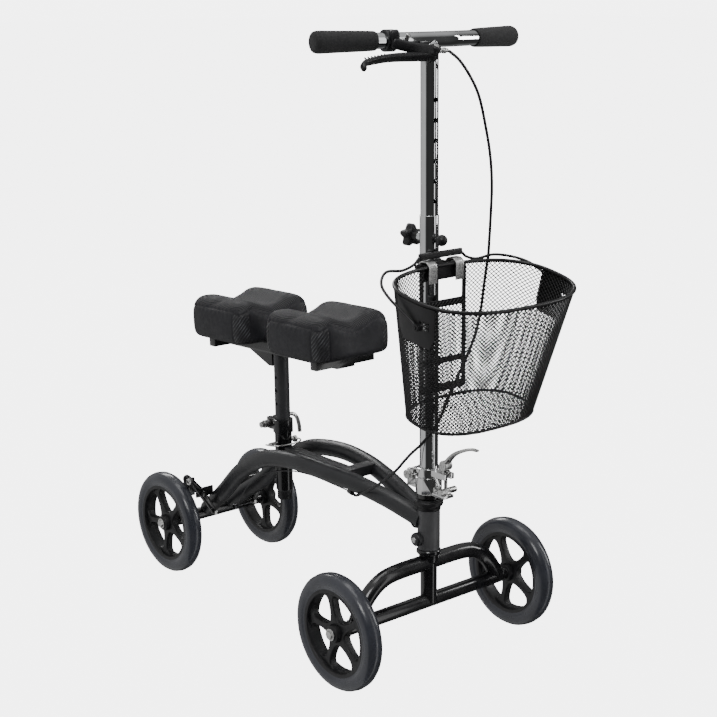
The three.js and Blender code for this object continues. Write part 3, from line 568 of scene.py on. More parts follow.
def lathe(name, profile, centre, axis, segments=48, crease=38):
    """A turned solid: profile is [radius, distance along the axis] in millimetres. A profile that
    doesn't start and end at radius 0 closes on itself."""
    axis = Vector(axis).normalized()
    across = axis.orthogonal().normalized()
    other = axis.cross(across)
    points, faces, rows = [], [], []
    for r, h in profile:
        base = Vector(centre) + axis * h * MM
        if r < 1e-6:
            rows.append([len(points)] * segments)
            points.append(base)
            continue
        rows.append(list(range(len(points), len(points) + segments)))
        for i in range(segments):
            turn = 2 * math.pi * i / segments
            points.append(base + (across * math.cos(turn) + other * math.sin(turn)) * r * MM)
    loops = list(zip(rows, rows[1:]))
    if profile[0][0] > 1e-6 and profile[-1][0] > 1e-6:
        loops.append((rows[-1], rows[0]))
    for low, high in loops:
        for i in range(segments):
            j = (i + 1) % segments
            corners = [low[i], low[j], high[j], high[i]]
            face = [c for k, c in enumerate(corners) if c != corners[k - 1]]
            if len(face) > 2:
                faces.append(face)
    return new_object(name, points, faces, crease)


def rounded(points, radius, steps=3):
    """A profile or outline with its corners rounded; the two end points stay."""
    out = [points[0]]
    for a, b, c in zip(points, points[1:], points[2:]):
        a, b, c = Vector(a), Vector(b), Vector(c)
        back, ahead = a - b, c - b
        reach = min(radius, back.length * 0.45, ahead.length * 0.45)
        start, end = b + back.normalized() * reach, b + ahead.normalized() * reach
        for k in range(steps + 1):
            t = k / steps
            out.append(tuple(start.lerp(b, t).lerp(b.lerp(end, t), t)))
    out.append(points[-1])
    return out


def turned(name, profile, radius, centre, axis, segments=48):
    """A turned solid whose profile has its corners rounded."""
    return lathe(name, rounded(profile, radius), centre, axis, segments)


def slab(name, outlines, depth, to_world, bevel=0.0):
    """A plate with rounded edges from closed outlines in millimetres (holes are the inner ones),
    centred on its own plane; to_world takes it into the row frame."""
    curve = bpy.data.curves.new(name, "CURVE")
    curve.dimensions = "2D"
    curve.fill_mode = "BOTH"
    curve.extrude = (depth / 2 - bevel) * MM
    curve.bevel_depth = bevel * MM
    curve.bevel_resolution = 2
    curve.offset = -bevel * MM
    for outline in outlines:
        spline = curve.splines.new("POLY")
        spline.points.add(len(outline) - 1)
        for point, (a, b) in zip(spline.points, outline):
            point.co = (a * MM, b * MM, 0, 1)
        spline.use_cyclic_u = True
    obj = bpy.data.objects.new(name, curve)
    scene.collection.objects.link(obj)
    bpy.context.view_layer.update()
    mesh = bpy.data.meshes.new_from_object(obj)
    bpy.data.objects.remove(obj)
    mesh.transform(to_world)
    bm = bmesh.new()
    bm.from_mesh(mesh)
    bmesh.ops.remove_doubles(bm, verts=bm.verts, dist=1e-6)
    bm.to_mesh(mesh)
    bm.free()
    smooth_with_creases(mesh)
    obj = bpy.data.objects.new(name, mesh)
    scene.collection.objects.link(obj)
    return obj


def basis(origin, first, second):
    """The matrix that takes a slab's plane to the plane of two directions at an origin."""
    a, b = Vector(first).normalized(), Vector(second).normalized()
    c = a.cross(b)
    m = Matrix((a, b, c)).transposed().to_4x4()
    m.translation = origin
    return m


def cut_by(obj, tools):
    """Subtracts closed objects from obj, and removes them."""
    for tool in tools:
        modifier = obj.modifiers.new("cut", "BOOLEAN")
        modifier.operation = "DIFFERENCE"
        modifier.solver = "EXACT"
        modifier.object = tool
    apply_modifiers(obj)
    for tool in tools:
        bpy.data.objects.remove(tool)
    smooth_with_creases(obj.data)
    return obj


def circle(radius, count):
    """Points round a circle, in millimetres in its own plane."""
    return [
        (radius * math.cos(t), radius * math.sin(t))
        for t in np.arange(count) * math.pi / (count / 2)
    ]


def bar(start, end, radius, sides=16):
    return sweep("tool", [start, end], radius * MM, sides=sides)


def softened(node, material, bevel=0.5):
    """A copy of a CAD node with its planes joined and its edges rounded."""
    source = frame["nodes"][node]
    mesh = source.data.copy()
    mesh.materials.clear()
    bm = bmesh.new()
    bm.from_mesh(mesh)
    bmesh.ops.remove_doubles(bm, verts=bm.verts, dist=2e-6)
    bmesh.ops.dissolve_limit(
        bm, angle_limit=math.radians(2), verts=bm.verts, edges=bm.edges
    )
    bm.to_mesh(mesh)
    bm.free()
    smooth_with_creases(mesh, 42)
    obj = bpy.data.objects.new(node + "_finish", mesh)
    scene.collection.objects.link(obj)
    modifier = obj.modifiers.new("edges", "BEVEL")
    modifier.width = bevel * MM
    modifier.segments = 2
    modifier.limit_method = "ANGLE"
    modifier.angle_limit = math.radians(50)
    modifier.use_clamp_overlap = True
    apply_modifiers(obj)
    smooth_with_creases(obj.data, 42)
    return place(obj, material, source["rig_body"], [node])


def weld(name, points, radius, body, material, closed=False):
    """A weld bead: a thin rippled cord of metal along a joint."""
    path = curve_through(points, 14, closed)
    length = sum((b - a).length for a, b in zip(path, path[1:]))
    ripples = max(3, round(length / 0.0032))

    def section(t):
        swell = radius * MM * (1 + 0.16 * math.sin(2 * math.pi * ripples * t))
        return swell, swell, 2.0

    bead = sweep(name, path, section, closed=closed, dome=0.8, sides=10, crease=70)
    return place(bead, material, body)


SIDES = (("right", -1), ("left", 1))

# Heights and pivots in millimetres, as the CAD has them.
AXLE_Z = 101.6
RAIL_RADIUS = 15.9
SEAT_Y = 411
LOCK_PIN_Z = 297
SEAT_HOLE_PITCH = 25.4
KNOB_Z = 735
MAST_HOLE_Z = 733
MAST_HOLE_PITCH = 31.75
BAR_RADIUS = 12.4
CAM_PIVOT = (0, -42, 358.3)
BAIL_PIVOT = (0, -146, 635)
SPOKES = 5
TYRE_DOTS = 22

# ---------- frame ----------

RAIL_ROUTE = [
    (8, 8, 250),
    (12, 40, 258.5),
    (20, 86, 271),
    (33.5, 155, 285),
    (46.5, 225, 292),
    (52, 300, 293.5),
    (52, 386, 280.5),
    (52, 436, 259),
    (49.5, 486, 228),
    (43, 550, 173),
    (33, 594, 142),
    (29, 634, 111),
]


def make_frame():
    for name, side in SIDES:
        route = [at(side * x, y, z) for x, y, z in RAIL_ROUTE]
        rail = sweep(f"rail_{name}", curve_through(route, 8), RAIL_RADIUS * MM, sides=40)
        place(rail, POWDER, "frame", [f"main_rail_{name}"])
    head = turned(
        "head_tube_shell", [(16, 199), (19.5, 199), (19.5, 270.3), (16, 270.3), (16, 199)], 1.0,
        at(0, 0, 0), Z,
    )
    place(head, HEAD_POWDER, "frame", ["head_tube"])
    bumper = turned(
        "steering_bumper", [(0, 0), (12, 0), (12, 9), (9, 11.5), (0, 11.5)], 1.5, at(-18.5, 4, 219),
        (-1, 0, 0), 40,
    )
    place(bumper, POWDER, "frame")
    screw = turned(
        "bumper_screw", [(0, 0), (5, 0), (5, 2.4), (0, 3.2)], 0.8, at(-29, 4, 219), (-1, 0, 0), 24
    )
    place(screw, ZINC, "frame")
    nut = turned("bumper_nut", [(0, 0), (5, 0), (5, 6), (0, 6.6)], 0.8, at(18.5, 4, 219), X, 24)
    place(nut, ZINC, "frame")
    upper = turned(
        "headset_cup",
        [
            (14.6, 270.7), (20.6, 270.7), (20.8, 276), (23.5, 278), (25, 281), (25, 286),
            (21, 288.5), (19, 290.4), (14.6, 290.4), (14.6, 270.7),
        ],
        0.8, at(0, 0, 0), Z,
    )
    place(upper, BLACK_PLASTIC, "frame", ["headset_upper"], "knob_plastic")
    lower = turned(
        "headset_lower_cup",
        [
            (14.6, 189.6), (19.5, 189.6), (21.5, 192), (21.5, 196), (20, 198.6), (14.6, 198.6),
            (14.6, 189.6),
        ],
        0.8, at(0, 0, 0), Z,
    )
    place(lower, ENAMEL, "frame", ["headset_lower"])
    softened("frame_bridge", POWDER, 1.2)
    softened("seat_tube", ENAMEL, 0.6)
    softened("seat_clamp_bolt", ZINC, 0.5)
    softened("seat_clamp_lever", ZINC, 0.5)
    softened("cable_stop", ENAMEL, 0.4)
    for name, side in SIDES:
        softened(f"brake_bracket_{name}", ENAMEL, 0.6)
    axle = turned(
        "rear_axle_shell", [(0, -100.2), (12.5, -100.2), (12.5, 100.2), (0, 100.2)], 0.8,
        at(0, 640, AXLE_Z), X, 40,
    )
    place(axle, ENAMEL, "frame", ["rear_axle_tube"])
    for name, side in SIDES:
        collar = [
            at(side * (8 + 15.4 * math.cos(t)), 17.5 + 2.2 * math.cos(t), 250 + 16.6 * math.sin(t))
            for t in np.linspace(-1.5, 1.5, 9)
        ]
        weld(f"rail_weld_{name}", collar, 1.6, "frame", POWDER)
        foot = [
            at(side * (29 + 16 * math.cos(t)), 627 + 6 * math.sin(t), 113 + 7 * math.sin(t))
            for t in np.linspace(-2.8, 2.8, 13)
        ]
        weld(f"rail_foot_weld_{name}", foot, 1.5, "frame", ENAMEL)


# ---------- seat ----------


def make_seat():
    lo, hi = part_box("seat_post")
    centre = at(0, SEAT_Y, 0)
    profile = [
        (12, lo.z / MM), (14.2, lo.z / MM), (14.2, hi.z / MM), (0, hi.z / MM), (0, hi.z / MM - 4),
        (12, hi.z / MM - 4), (12, lo.z / MM),
    ]
    post = lathe("seat_post_shell", profile, centre, (0, 0, 1), 48)
    holes = [
        bar(
            at(-20, SEAT_Y, LOCK_PIN_Z + n * SEAT_HOLE_PITCH),
            at(20, SEAT_Y, LOCK_PIN_Z + n * SEAT_HOLE_PITCH), 3.2, 20,
        )
        for n in (3, 4, 5)
    ]
    slot = bar(at(-20, SEAT_Y, 260), at(20, SEAT_Y, 260), 3.6, 20)
    cut_by(post, holes + [slot])
    place(post, POST_POWDER, "seat", ["seat_post"])
    softened("seat_post_plug", BLACK_PLASTIC, 1.0)
    softened("seat_bracket", ENAMEL, 1.0)
    softened("seat_lock_pin", ZINC, 0.5)
    bail = [
        (32.5, 411, 297), (32.5, 401, 297), (24, 391, 297), (0, 386.5, 297), (-22, 390, 297),
        (-34, 401, 297), (-38.5, 414, 297),
    ]
    wire = sweep(
        "lock_bail_wire", curve_through([at(*p) for p in bail], 8), 1.6 * MM, sides=16, dome=1.0
    )
    place(wire, ZINC, "seat_lock_bail", ["seat_lock_bail"])


# ---------- knee pads ----------

SEAT_TILT = math.radians(2)
PAD_HALF = 88
PAD_BOTTOM = 492.6
PAD_TROUGH = 58
PAD_HUMP = 77
PAD_HUMP_X = 61
INSERT = 27  # how far the corner inserts reach along each side


def pad_top(x):
    """The height of the pad's top over its base, in millimetres."""
    across = np.minimum(np.abs(x) / PAD_HUMP_X, 1.35)
    return PAD_TROUGH + (PAD_HUMP - PAD_TROUGH) * np.sin(across * math.pi / 2) ** 2


def pad_shape(name):
    """The pad's plain form, level and about its own middle, in millimetres."""
    count = 96
    layers = [
        (0.9, 0, None), (0.955, 1.6, None), (0.982, 6, None), (0.994, 16, None), (1.0, 30, None)
    ]
    layers += [
        (0.996, None, 23), (0.976, None, 14), (0.94, None, 7.4), (0.89, None, 3.2),
        (0.83, None, 0.9),
    ]
    layers += [(share, None, 0) for share in (0.76, 0.66, 0.54, 0.42, 0.3, 0.18, 0.07)]
    points, faces = [], []
    for share, height, drop in layers:
        for x, y in oval(
            count, PAD_HALF * share - 1.5, PAD_HALF * share - 1.5, 6.5 if share > 0.8 else 5
        ):
            points.append((x, y, height if drop is None else float(pad_top(x)) - drop - 0.5))
    for r in range(len(layers) - 1):
        for i in range(count):
            j = (i + 1) % count
            faces.append((r * count + i, r * count + j, (r + 1) * count + j, (r + 1) * count + i))
    faces.append(tuple(range(count)))
    faces.append(tuple((len(layers) - 1) * count + i for i in range(count)))
    return new_object(name, [Vector(p) * MM for p in points], faces)


def inflate(obj, cap):
    """Swells a pad's cover over its filling: cloth pressure, with the base held still."""
    skin = obj.modifiers.new("skin", "REMESH")
    skin.mode = "VOXEL"
    skin.voxel_size = 0.004
    apply_modifiers(obj)
    rest = np.array([v.co for v in obj.data.vertices])
    held = obj.vertex_groups.new(name="held")
    held.add([int(i) for i in np.nonzero(rest[:, 2] < 0.006)[0]], 1.0, "REPLACE")
    cloth = obj.modifiers.new("swell", "CLOTH")
    settings = cloth.settings
    settings.vertex_group_mass = "held"
    settings.use_pressure = True
    settings.uniform_pressure_force = 4.0
    settings.effector_weights.gravity = 0
    for step in range(1, 21):
        scene.frame_set(step)
    evaluated = obj.evaluated_get(bpy.context.evaluated_depsgraph_get())
    moved = np.array([v.co for v in evaluated.data.vertices])
    obj.modifiers.clear()
    scene.frame_set(1)
    shift = moved - rest
    length = np.linalg.norm(shift, axis=1, keepdims=True)
    shift *= np.minimum(1.0, cap / np.maximum(length, 1e-9))
    obj.data.vertices.foreach_set("co", (rest + shift).ravel())
    obj.data.update()
    smooth = obj.modifiers.new("even", "SMOOTH")
    smooth.iterations = 5
    finer = obj.modifiers.new("finer", "SUBSURF")
    finer.levels = finer.render_levels = 1
    return apply_modifiers(obj)


def groove(distance, width, depth):
    return -depth * np.exp(-((distance / width) ** 2))


def make_pad(node, name, middle_y):
    pad = pad_shape(name)
    inflate(pad, 0.005)
    mesh = pad.data
    co = np.array([v.co for v in mesh.vertices]) / MM
    normal = np.array([v.normal for v in mesh.vertices])
    reach = np.abs(co[:, :2])
    on_side = np.clip((np.abs(normal[:, :2]).max(1) - 0.45) / 0.25, 0, 1)
    under_top = pad_top(co[:, 0]) - co[:, 2]
    corner = (PAD_HALF - reach).max(1)
    shift = groove(under_top - 11, 1.3, 1.5) * on_side * (corner > INSERT)
    shift += groove(corner - INSERT, 1.2, 1.3) * on_side * (under_top > 10) * (co[:, 2] > 4)
    shift += groove(under_top - 19 + 5 * (corner / INSERT) ** 2, 1.2, 1.4) * on_side * (
        corner < INSERT + 1
    )
    shift += groove(co[:, 2] - 4.5, 1.2, 1.0) * on_side
    pucker = np.sin(co[:, 0] * 0.55 + 1.3) * np.sin(co[:, 1] * 0.49 + 0.4)
    shift += 0.25 * pucker * np.exp(-(((under_top - 14) / 7) ** 2)) * on_side
    co += normal * shift[:, None]
    mesh.vertices.foreach_set("co", (co * MM).ravel())
    for material in (VINYL, RIBBED, WEAVE):
        mesh.materials.append(material)
    for polygon in mesh.polygons:
        c = np.array(polygon.center) / MM
        below = float(pad_top(c[0])) - c[2]
        inset = PAD_HALF - np.abs(c[:2])
        side = max(abs(polygon.normal.x), abs(polygon.normal.y))
        if c[2] > 20 and (side < 0.62 or below < 11 and side < 0.8):
            polygon.material_index = 1
        elif inset.max() < INSERT and below > 19 - 5 * (inset.max() / INSERT) ** 2 and c[2] > 5:
            polygon.material_index = 2
        polygon.use_smooth = True
    level = Matrix.Translation(at(0, middle_y, PAD_BOTTOM))
    pivot = at(0, SEAT_Y, PAD_BOTTOM)
    tip = Matrix.Translation(pivot) @ Matrix.Rotation(
        -SEAT_TILT, 4, "X"
    ) @ Matrix.Translation(-pivot)
    mesh.transform(tip @ level)
    mesh.update()
    place(pad, VINYL, "seat", [node])


# ---------- wheels ----------


ROLLED = {"front_right": -13, "front_left": -24, "rear_right": -27, "rear_left": 34}


def window(index, rolled):
    """One of the five rounded openings between the spokes of a wheel rolled by some degrees."""
    outline = []
    for i in range(40):
        turn = 2 * math.pi * i / 40
        c, s = math.cos(turn), math.sin(turn)
        r = 46.5 + 24.5 * math.copysign(abs(c) ** 0.62, c)
        flare = 5.6 + 5.5 * ((r - 42) / 27) ** 4
        half_angle = math.pi / 5 - math.asin(min(flare / r, 0.9))
        angle = half_angle * math.copysign(abs(s) ** 0.62, s) + math.radians(
            index * 72 + 54 + rolled
        )
        outline.append((r * math.cos(angle), r * math.sin(angle)))
    return outline


TYRE_PROFILE = [
    (75.9, -13.4),
    (79.6, -13.9),
    (80.6, -14.8),
    (84, -15.9),
    (89, -15.9),
    (93.6, -14.7),
    (97.4, -11.9),
    (100.4, -7.3),
    (101.6, 0),
]


def make_wheel(end, name, side, body_of_axle):
    lo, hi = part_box(f"tyre_{end}_{name}")
    centre = (lo + hi) / 2
    axis = (1, 0, 0)
    mirror = [(r, -h) for r, h in reversed(TYRE_PROFILE[:-1])]
    tyre = lathe(f"tyre_skin_{end}_{name}", TYRE_PROFILE + mirror, centre, axis, 112, 60)
    body = f"wheel_{end}_{name}"
    place(tyre, TYRE, body, [f"tyre_{end}_{name}"])
    rim_profile = rounded(
        [
            (75.8, -13.4), (69.5, -13.4), (68.6, -8), (68.6, 8), (69.5, 13.4), (75.8, 13.4),
            (75.8, -13.4),
        ], 1.2
    )
    rim = lathe("rim", rim_profile, centre, axis, 96)
    hub_profile = [
        (5.6, -18), (11, -18), (11.6, -16.8), (15, -15.5), (16.5, -8), (16.5, 8), (15, 15.5),
        (11.6, 16.8), (11, 18), (5.6, 18), (5.6, -18),
    ]
    hub = turned("hub", hub_profile, 0.8, centre, axis, 48)
    ring = circle(72, 96)
    bore = circle(9, 32)
    plane = basis(centre, Y, Z)
    web = slab(
        "web", [ring, bore] + [window(i, ROLLED[f"{end}_{name}"]) for i in range(SPOKES)], 15,
        plane, 2.2,
    )
    spider = merged(f"spider_{end}_{name}", [rim, hub, web])
    place(spider, WHEEL_NYLON, body, [f"wheel_{end}_{name}"])
    # Small raised bumps round each sidewall, given the pale painted-highlight colour in place of the
    # glints they catch.
    dots = []
    for i in range(TYRE_DOTS):
        turn = 2 * math.pi * i / TYRE_DOTS
        spot = Vector((0, math.cos(turn), math.sin(turn))) * 0.0835
        for face in (-1, 1):
            where = centre + spot + Vector((face * 0.0145, 0, 0))
            dots.append(
                lathe(
                    "dot", [(0, -0.6), (2.1, -0.6), (1.9, 0.35), (0, 0.6)], where, (face, 0, 0), 12
                )
            )
    place(merged(f"tyre_dots_{end}_{name}", dots), TYRE_DOT_GLINT, body)
    washer = turned(
        "washer", [(5, 18.2), (10.5, 18.2), (10.5, 19.4), (5, 19.4)], 0.3, centre, (side, 0, 0), 32
    )
    nut = slab(
        "nut", [circle(7.6, 6)], 3.4, basis(centre + Vector((side * 0.0209, 0, 0)), Y, Z), 0.5
    )
    shank = turned(
        "shank", [(0, -18), (5, -18), (5, 22), (3, 22.4), (0, 22.4)], 0.6, centre, (side, 0, 0), 24
    )
    bolt = merged(f"axle_{end}_{name}", [washer, nut, shank])
    place(bolt, ZINC, body_of_axle, [f"axle_bolt_{end}_{name}"])


# ---------- steering ----------


def make_steering():
    arch_half = [(166, AXLE_Z), (156, 121), (142, 141), (125, 157), (104, 168), (80, 172.5)]
    arch = [at(-x, 0, z) for x, z in arch_half] + [at(0, 0, 173.5)]
    arch += [at(x, 0, z) for x, z in reversed(arch_half)]
    upper = sweep("arch", curve_through(arch, 8), 14 * MM, up=(0, 1, 0), sides=40)
    lower = turned(
        "bar", [(0, -182.6), (12.5, -182.6), (12.5, 182.6), (0, 182.6)], 0.8, at(0, 0, AXLE_Z), X,
        40,
    )
    stem = turned(
        "stem",
        [
            (0, 100), (14.5, 100), (14.5, 174), (17, 176), (17, 188.8), (14, 189), (14, 290),
            (20.3, 292), (20.3, 300.4), (0, 300.4),
        ],
        0.7, at(0, 0, 0), Z, 40,
    )
    fork = merged("fork_tubes", [upper, lower, stem])
    place(fork, ENAMEL, "steering", ["fork"])
    weld(
        "stem_weld_low",
        [
            at(
                13.2 * math.cos(t), 13.2 * math.sin(t),
                AXLE_Z + 12.5 * math.sqrt(max(0, 1 - (math.sin(t)) ** 2 * 0.98)),
            )
            for t in np.linspace(0, 2 * math.pi, 25)[:-1]
        ],
        1.3, "steering", ENAMEL, True,
    )
    for name, side in SIDES:
        ring = [
            at(
                side * (166 + 12.8 * math.cos(t)), 12.8 * math.sin(t),
                AXLE_Z + 12.3 * math.sqrt(max(0.02, 1 - math.sin(t) ** 2)),
            )
            for t in np.linspace(0, 2 * math.pi, 21)[:-1]
        ]
        weld(f"arch_weld_{name}", ring, 1.3, "steering", ENAMEL, True)
    softened("clamp_lower", CAST_CHROME, 1.0)
    softened("fold_hinge_pin", ZINC, 0.6)


# ---------- column ----------


def make_column():
    bottom, top = column_lo.z / MM, column_hi.z / MM
    tube = turned(
        "column_shell", [(15, bottom), (15.9, bottom), (15.9, top), (15, top), (15, bottom)], 0.5,
        at(0, 0, 0), Z, 64,
    )
    boss = turned(
        "boss", [(0, 12), (8, 12), (8, 24), (4.6, 24), (4.6, 14), (0, 14)], 0.6, at(0, 0, KNOB_Z),
        Y, 32,
    )
    cut_by(tube, [bar(at(0, -20, KNOB_Z), at(0, -5, KNOB_Z), 4.5, 24)])
    shell = merged("column_tube_finish", [tube, boss])
    place(shell, CHROME, "column", ["column_tube"])
    softened("clamp_upper", CAST_CHROME, 1.0)
    softened("clamp_swing_bolt", ZINC, 0.5)
    softened("basket_bracket", MESH_COAT, 0.8)

    def blade(t):
        return (0.0075 - 0.0035 * t, 0.0042 - 0.0022 * t, 2.6)

    route = [
        (0, -44, 362), (0, -54, 374), (0, -66, 384), (0, -86, 394), (0, -104, 400), (0, -117.5, 401)
    ]
    arm = sweep("blade", curve_through([at(*p) for p in route], 8), blade, dome=0.9, sides=28)
    cam = turned("cam", [(0, -8), (8.8, -8), (8.8, 8), (0, 8)], 1.2, at(*CAM_PIVOT), X, 40)
    eye = turned("eye", [(0, -8.4), (3.6, -8.4), (3.6, 8.4), (0, 8.4)], 0.6, at(*CAM_PIVOT), X, 24)
    lever = merged("cam_lever_finish", [arm, cam, eye])
    place(lever, ZINC, "clamp_cam_lever", ["clamp_cam_lever"])

    lobes = []
    for i in range(80):
        turn = 2 * math.pi * i / 80
        r = 16 + 3.4 * math.cos(5 * turn)
        lobes.append((r * math.sin(turn), r * math.cos(turn)))
    head = slab("head", [lobes], 17, basis(at(0, 44.5, KNOB_Z), X, Z), 3.0)
    neck = turned(
        "neck", [(0, 24.4), (8.5, 24.4), (8.5, 37), (0, 37)], 0.8, at(0, 0, KNOB_Z), Y, 32
    )
    shank = lathe(
        "shank", [(0, 15.5), (4, 15.5), (4, 25), (0, 25)], at(0, 0, KNOB_Z), (0, 1, 0), 24
    )
    cap = turned("cap", [(0, 52), (8, 52), (8, 53.4), (0, 54)], 0.6, at(0, 0, KNOB_Z), Y, 32)
    knob = merged("star_knob_finish", [head, neck, shank, cap])
    place(knob, BLACK_PLASTIC, "column_star_knob", ["column_star_knob"], "knob_plastic")
    ball_profile = [(0, 39.4)] + [
        (9.4 * math.sin(t), 30 + 9.4 * math.cos(t)) for t in np.linspace(0.15, 2.6, 14)
    ] + [(4, 21.5), (4, 15.5), (0, 15.5)]
    pin = lathe("lock_pin_finish", ball_profile, at(0, 0, KNOB_Z), (0, -1, 0), 40)
    place(pin, BLACK_PLASTIC, "column_lock_pin", ["column_lock_pin"], "knob_plastic")


# ---------- tiller ----------

BAR_Z = 1047


def bar_y(x):
    return 0.167 * max(0.0, abs(x) - 45)


def lever_plane(x, out, up):
    tilt = math.pi / 6
    y = bar_y(x) * 0.5 - out * math.cos(tilt) - up * math.sin(tilt)
    return at(x, y, BAR_Z - out * math.sin(tilt) + up * math.cos(tilt))


def make_tiller():
    bottom, top = mast_lo.z / MM, mast_hi.z / MM
    mast = turned(
        "mast", [(13, bottom), (14.6, bottom), (14.6, top), (13, top), (13, bottom)], 0.4,
        at(0, 0, 0), Z, 64,
    )
    holes = [
        bar(
            at(0, -20, MAST_HOLE_Z + n * MAST_HOLE_PITCH),
            at(0, -3, MAST_HOLE_Z + n * MAST_HOLE_PITCH), 4.2, 24,
        )
        for n in range(-2, 8)
    ]
    cut_by(mast, holes)
    place(mast, CHROME, "tiller", ["mast_inner_tube"])
    route = [
        at(x, bar_y(x), BAR_Z)
        for x in (-204, -160, -120, -80, -60, -50, -40, -20, 0, 20, 40, 50, 60, 80, 120, 160, 204)
    ]
    handle = sweep("bar", curve_through(route, 5), BAR_RADIUS * MM, sides=48)
    collar = turned(
        "collar", [(0, top + 0.3), (14.6, top + 0.3), (14.6, 1040), (12, 1044), (0, 1046)], 1.0,
        at(0, 0, 0), Z, 48,
    )
    place(merged("handlebar_finish", [handle, collar]), CHROME, "tiller", ["handlebar"])
    seam = [
        at(
            12.4 * math.cos(t), 12.4 * math.sin(t),
            1047 - 11.2 * math.sqrt(max(0.04, 1 - math.sin(t) ** 2 * 0.98)),
        )
        for t in np.linspace(0, 2 * math.pi, 25)[:-1]
    ]
    weld("bar_weld", seam, 1.2, "tiller", CHROME, True)
    for name, side in SIDES:
        inner = at(side * 104, bar_y(104), BAR_Z)
        outer = at(side * 211, bar_y(211), BAR_Z)
        length = (outer - inner).length / MM
        profile = [
            (12.8, 0.4),
            (14, 0.2),
            (14.8, 2),
            (15.1, 8),
            (15.5, 22),
            (16, 46),
            (16.5, 74),
            (17, length - 14),
            (16.9, length - 8),
            (15.6, length - 3),
            (12, length - 0.5),
            (0, length),
        ]
        grip = lathe(
            f"foam_grip_{name}", [(0, 6)] + [(12.8, 6)] + rounded(profile, 1.4), inner,
            outer - inner, 48, 60,
        )
        place(grip, FOAM, "tiller", [f"grip_{name}"])
    make_brake_lever()


def make_brake_lever():
    direction = Vector((1, -0.167, 0)).normalized()
    centre = at(-80, bar_y(-80), BAR_Z)
    clamp = turned(
        "clamp", [(12.9, -9), (16.8, -9), (16.8, 9), (12.9, 9), (12.9, -9)], 1.4, centre, direction,
        48,
    )
    lug = sweep(
        "lug", [lever_plane(-85, 6, 12), lever_plane(-77, 8, 14)], lambda _: (0.007, 0.009, 3.0),
        dome=0.5, sides=24,
    )

    def arm_section(t):
        return (0.0068 - 0.0012 * t, 0.0086 - 0.001 * t, 3.0)

    route = [
        lever_plane(*p)
        for p in ((-82, 13, 4), (-72, 20, 4), (-54, 28, 4), (-34, 33, 4), (-19, 36, 4))
    ]
    arm = sweep("arm", curve_through(route, 8), arm_section, dome=0.8, sides=28)
    low = lever_plane(-19, 36, -1.2)
    high = lever_plane(-19, 36, 11)
    head = turned("head", [(0, 0), (8, 0), (8, 12.2), (0, 12.2)], 1.6, low, high - low, 32)
    perch = merged("lever_perch_finish", [clamp, lug, arm, head])
    place(perch, BLACK_PLASTIC, "tiller", ["brake_lever_perch"])
    screw = turned(
        "pivot_screw", [(0, 11.8), (4.4, 11.8), (4.4, 13.8), (2, 14.2), (0, 13.6)], 0.4, low,
        high - low, 24,
    )
    place(screw, ZINC, "tiller")
    pinch_low, pinch_high = lever_plane(-62, 14, 4), lever_plane(-62, 14, 20)
    pinch = turned(
        "clamp_screw", [(0, 0), (3.6, 0), (3.6, 15), (2, 16), (0, 16)], 0.6, pinch_low,
        pinch_high - pinch_low, 20,
    )
    place(pinch, ZINC, "tiller")
    start, end = lever_plane(-14, 36.2, 3), at(8.2, -34, 1031.2)
    length = (end - start).length / MM
    barrel_profile = [
        (0, 0), (4.2, 0), (4.2, 7), (3, 8), (3, 10), (4.6, 11), (4.6, 16), (3.2, 17.5),
        (3.2, length - 1), (0, length),
    ]
    barrel = turned("cable_barrel", barrel_profile, 0.5, start, end - start, 28)
    place(barrel, ZINC, "tiller")

    def blade(t):
        return (0.0098 - 0.0052 * t, 0.0046 - 0.0008 * t, 3.0)

    under = -6.8
    points = [
        (-14, 36), (-30, 35.5), (-60, 35.5), (-85, 35.5), (-108, 37), (-128, 40.5), (-145, 44.5),
        (-157, 48.5), (-164, 55), (-167, 62),
    ]
    arm = sweep(
        "blade", curve_through([lever_plane(x, out, under) for x, out in points], 7), blade,
        up=lever_plane(0, 0, 1) - lever_plane(0, 0, 0), dome=0.9, sides=28,
    )
    eye_low, eye_high = lever_plane(-19, 36, under - 5), lever_plane(-19, 36, -1.7)
    eye = turned(
        "eye", [(0, 0), (8.4, 0), (8.4, 10), (0, 10)], 1.2, eye_low, eye_high - eye_low, 32
    )
    notches = [
        sweep(
            "notch",
            [
                lever_plane(x, 37.5 + 0.19 * (-x - 100), under + 3.6),
                lever_plane(x, 29.5 + 0.19 * (-x - 100), under + 3.6),
            ],
            1.2 * MM,
            dome=1.0,
            sides=12,
        )
        for x in range(-152, -104, 7)
    ]
    lever = merged("brake_lever_finish", [arm, eye] + notches)
    place(lever, BLACK_PLASTIC, "brake_lever", ["brake_lever"])


# ---------- brake cable ----------

CABLE_UPPER = [
    (10.5, -34, 1030),
    (32, -34, 1016),
    (58, -33.5, 988),
    (76, -33, 960),
    (94, -31, 911),
    (109, -28, 859),
    (116, -25, 813),
    (117, -22, 756),
    (115, -20, 696.5),
]
CABLE_MIDDLE = [
    (115, -20, 696),
    (109, -20.5, 668),
    (95, -23, 603),
    (84, -24.5, 571),
    (64, -27, 538),
    (27, -28, 484),
    (-9.5, -28, 426),
    (-32, -21, 400),
    (-42, -2, 378),
    (-44, 12, 363),
]
CABLE_LOWER = [
    (-44.1, 12.4, 362.6), (-46, 33, 340), (-49, 82, 301), (-50, 118, 279), (-44, 142, 267.5),
    (-32.3, 165.2, 262.6),
]
WIRE_ROUTE = [
    (-28.4, 181.6, 262.5), (-28, 230, 264), (-30, 290, 266), (-33, 350, 260), (-34, 420, 238),
    (-22, 500, 190), (-6, 558, 138), (0, 576, 124),
]


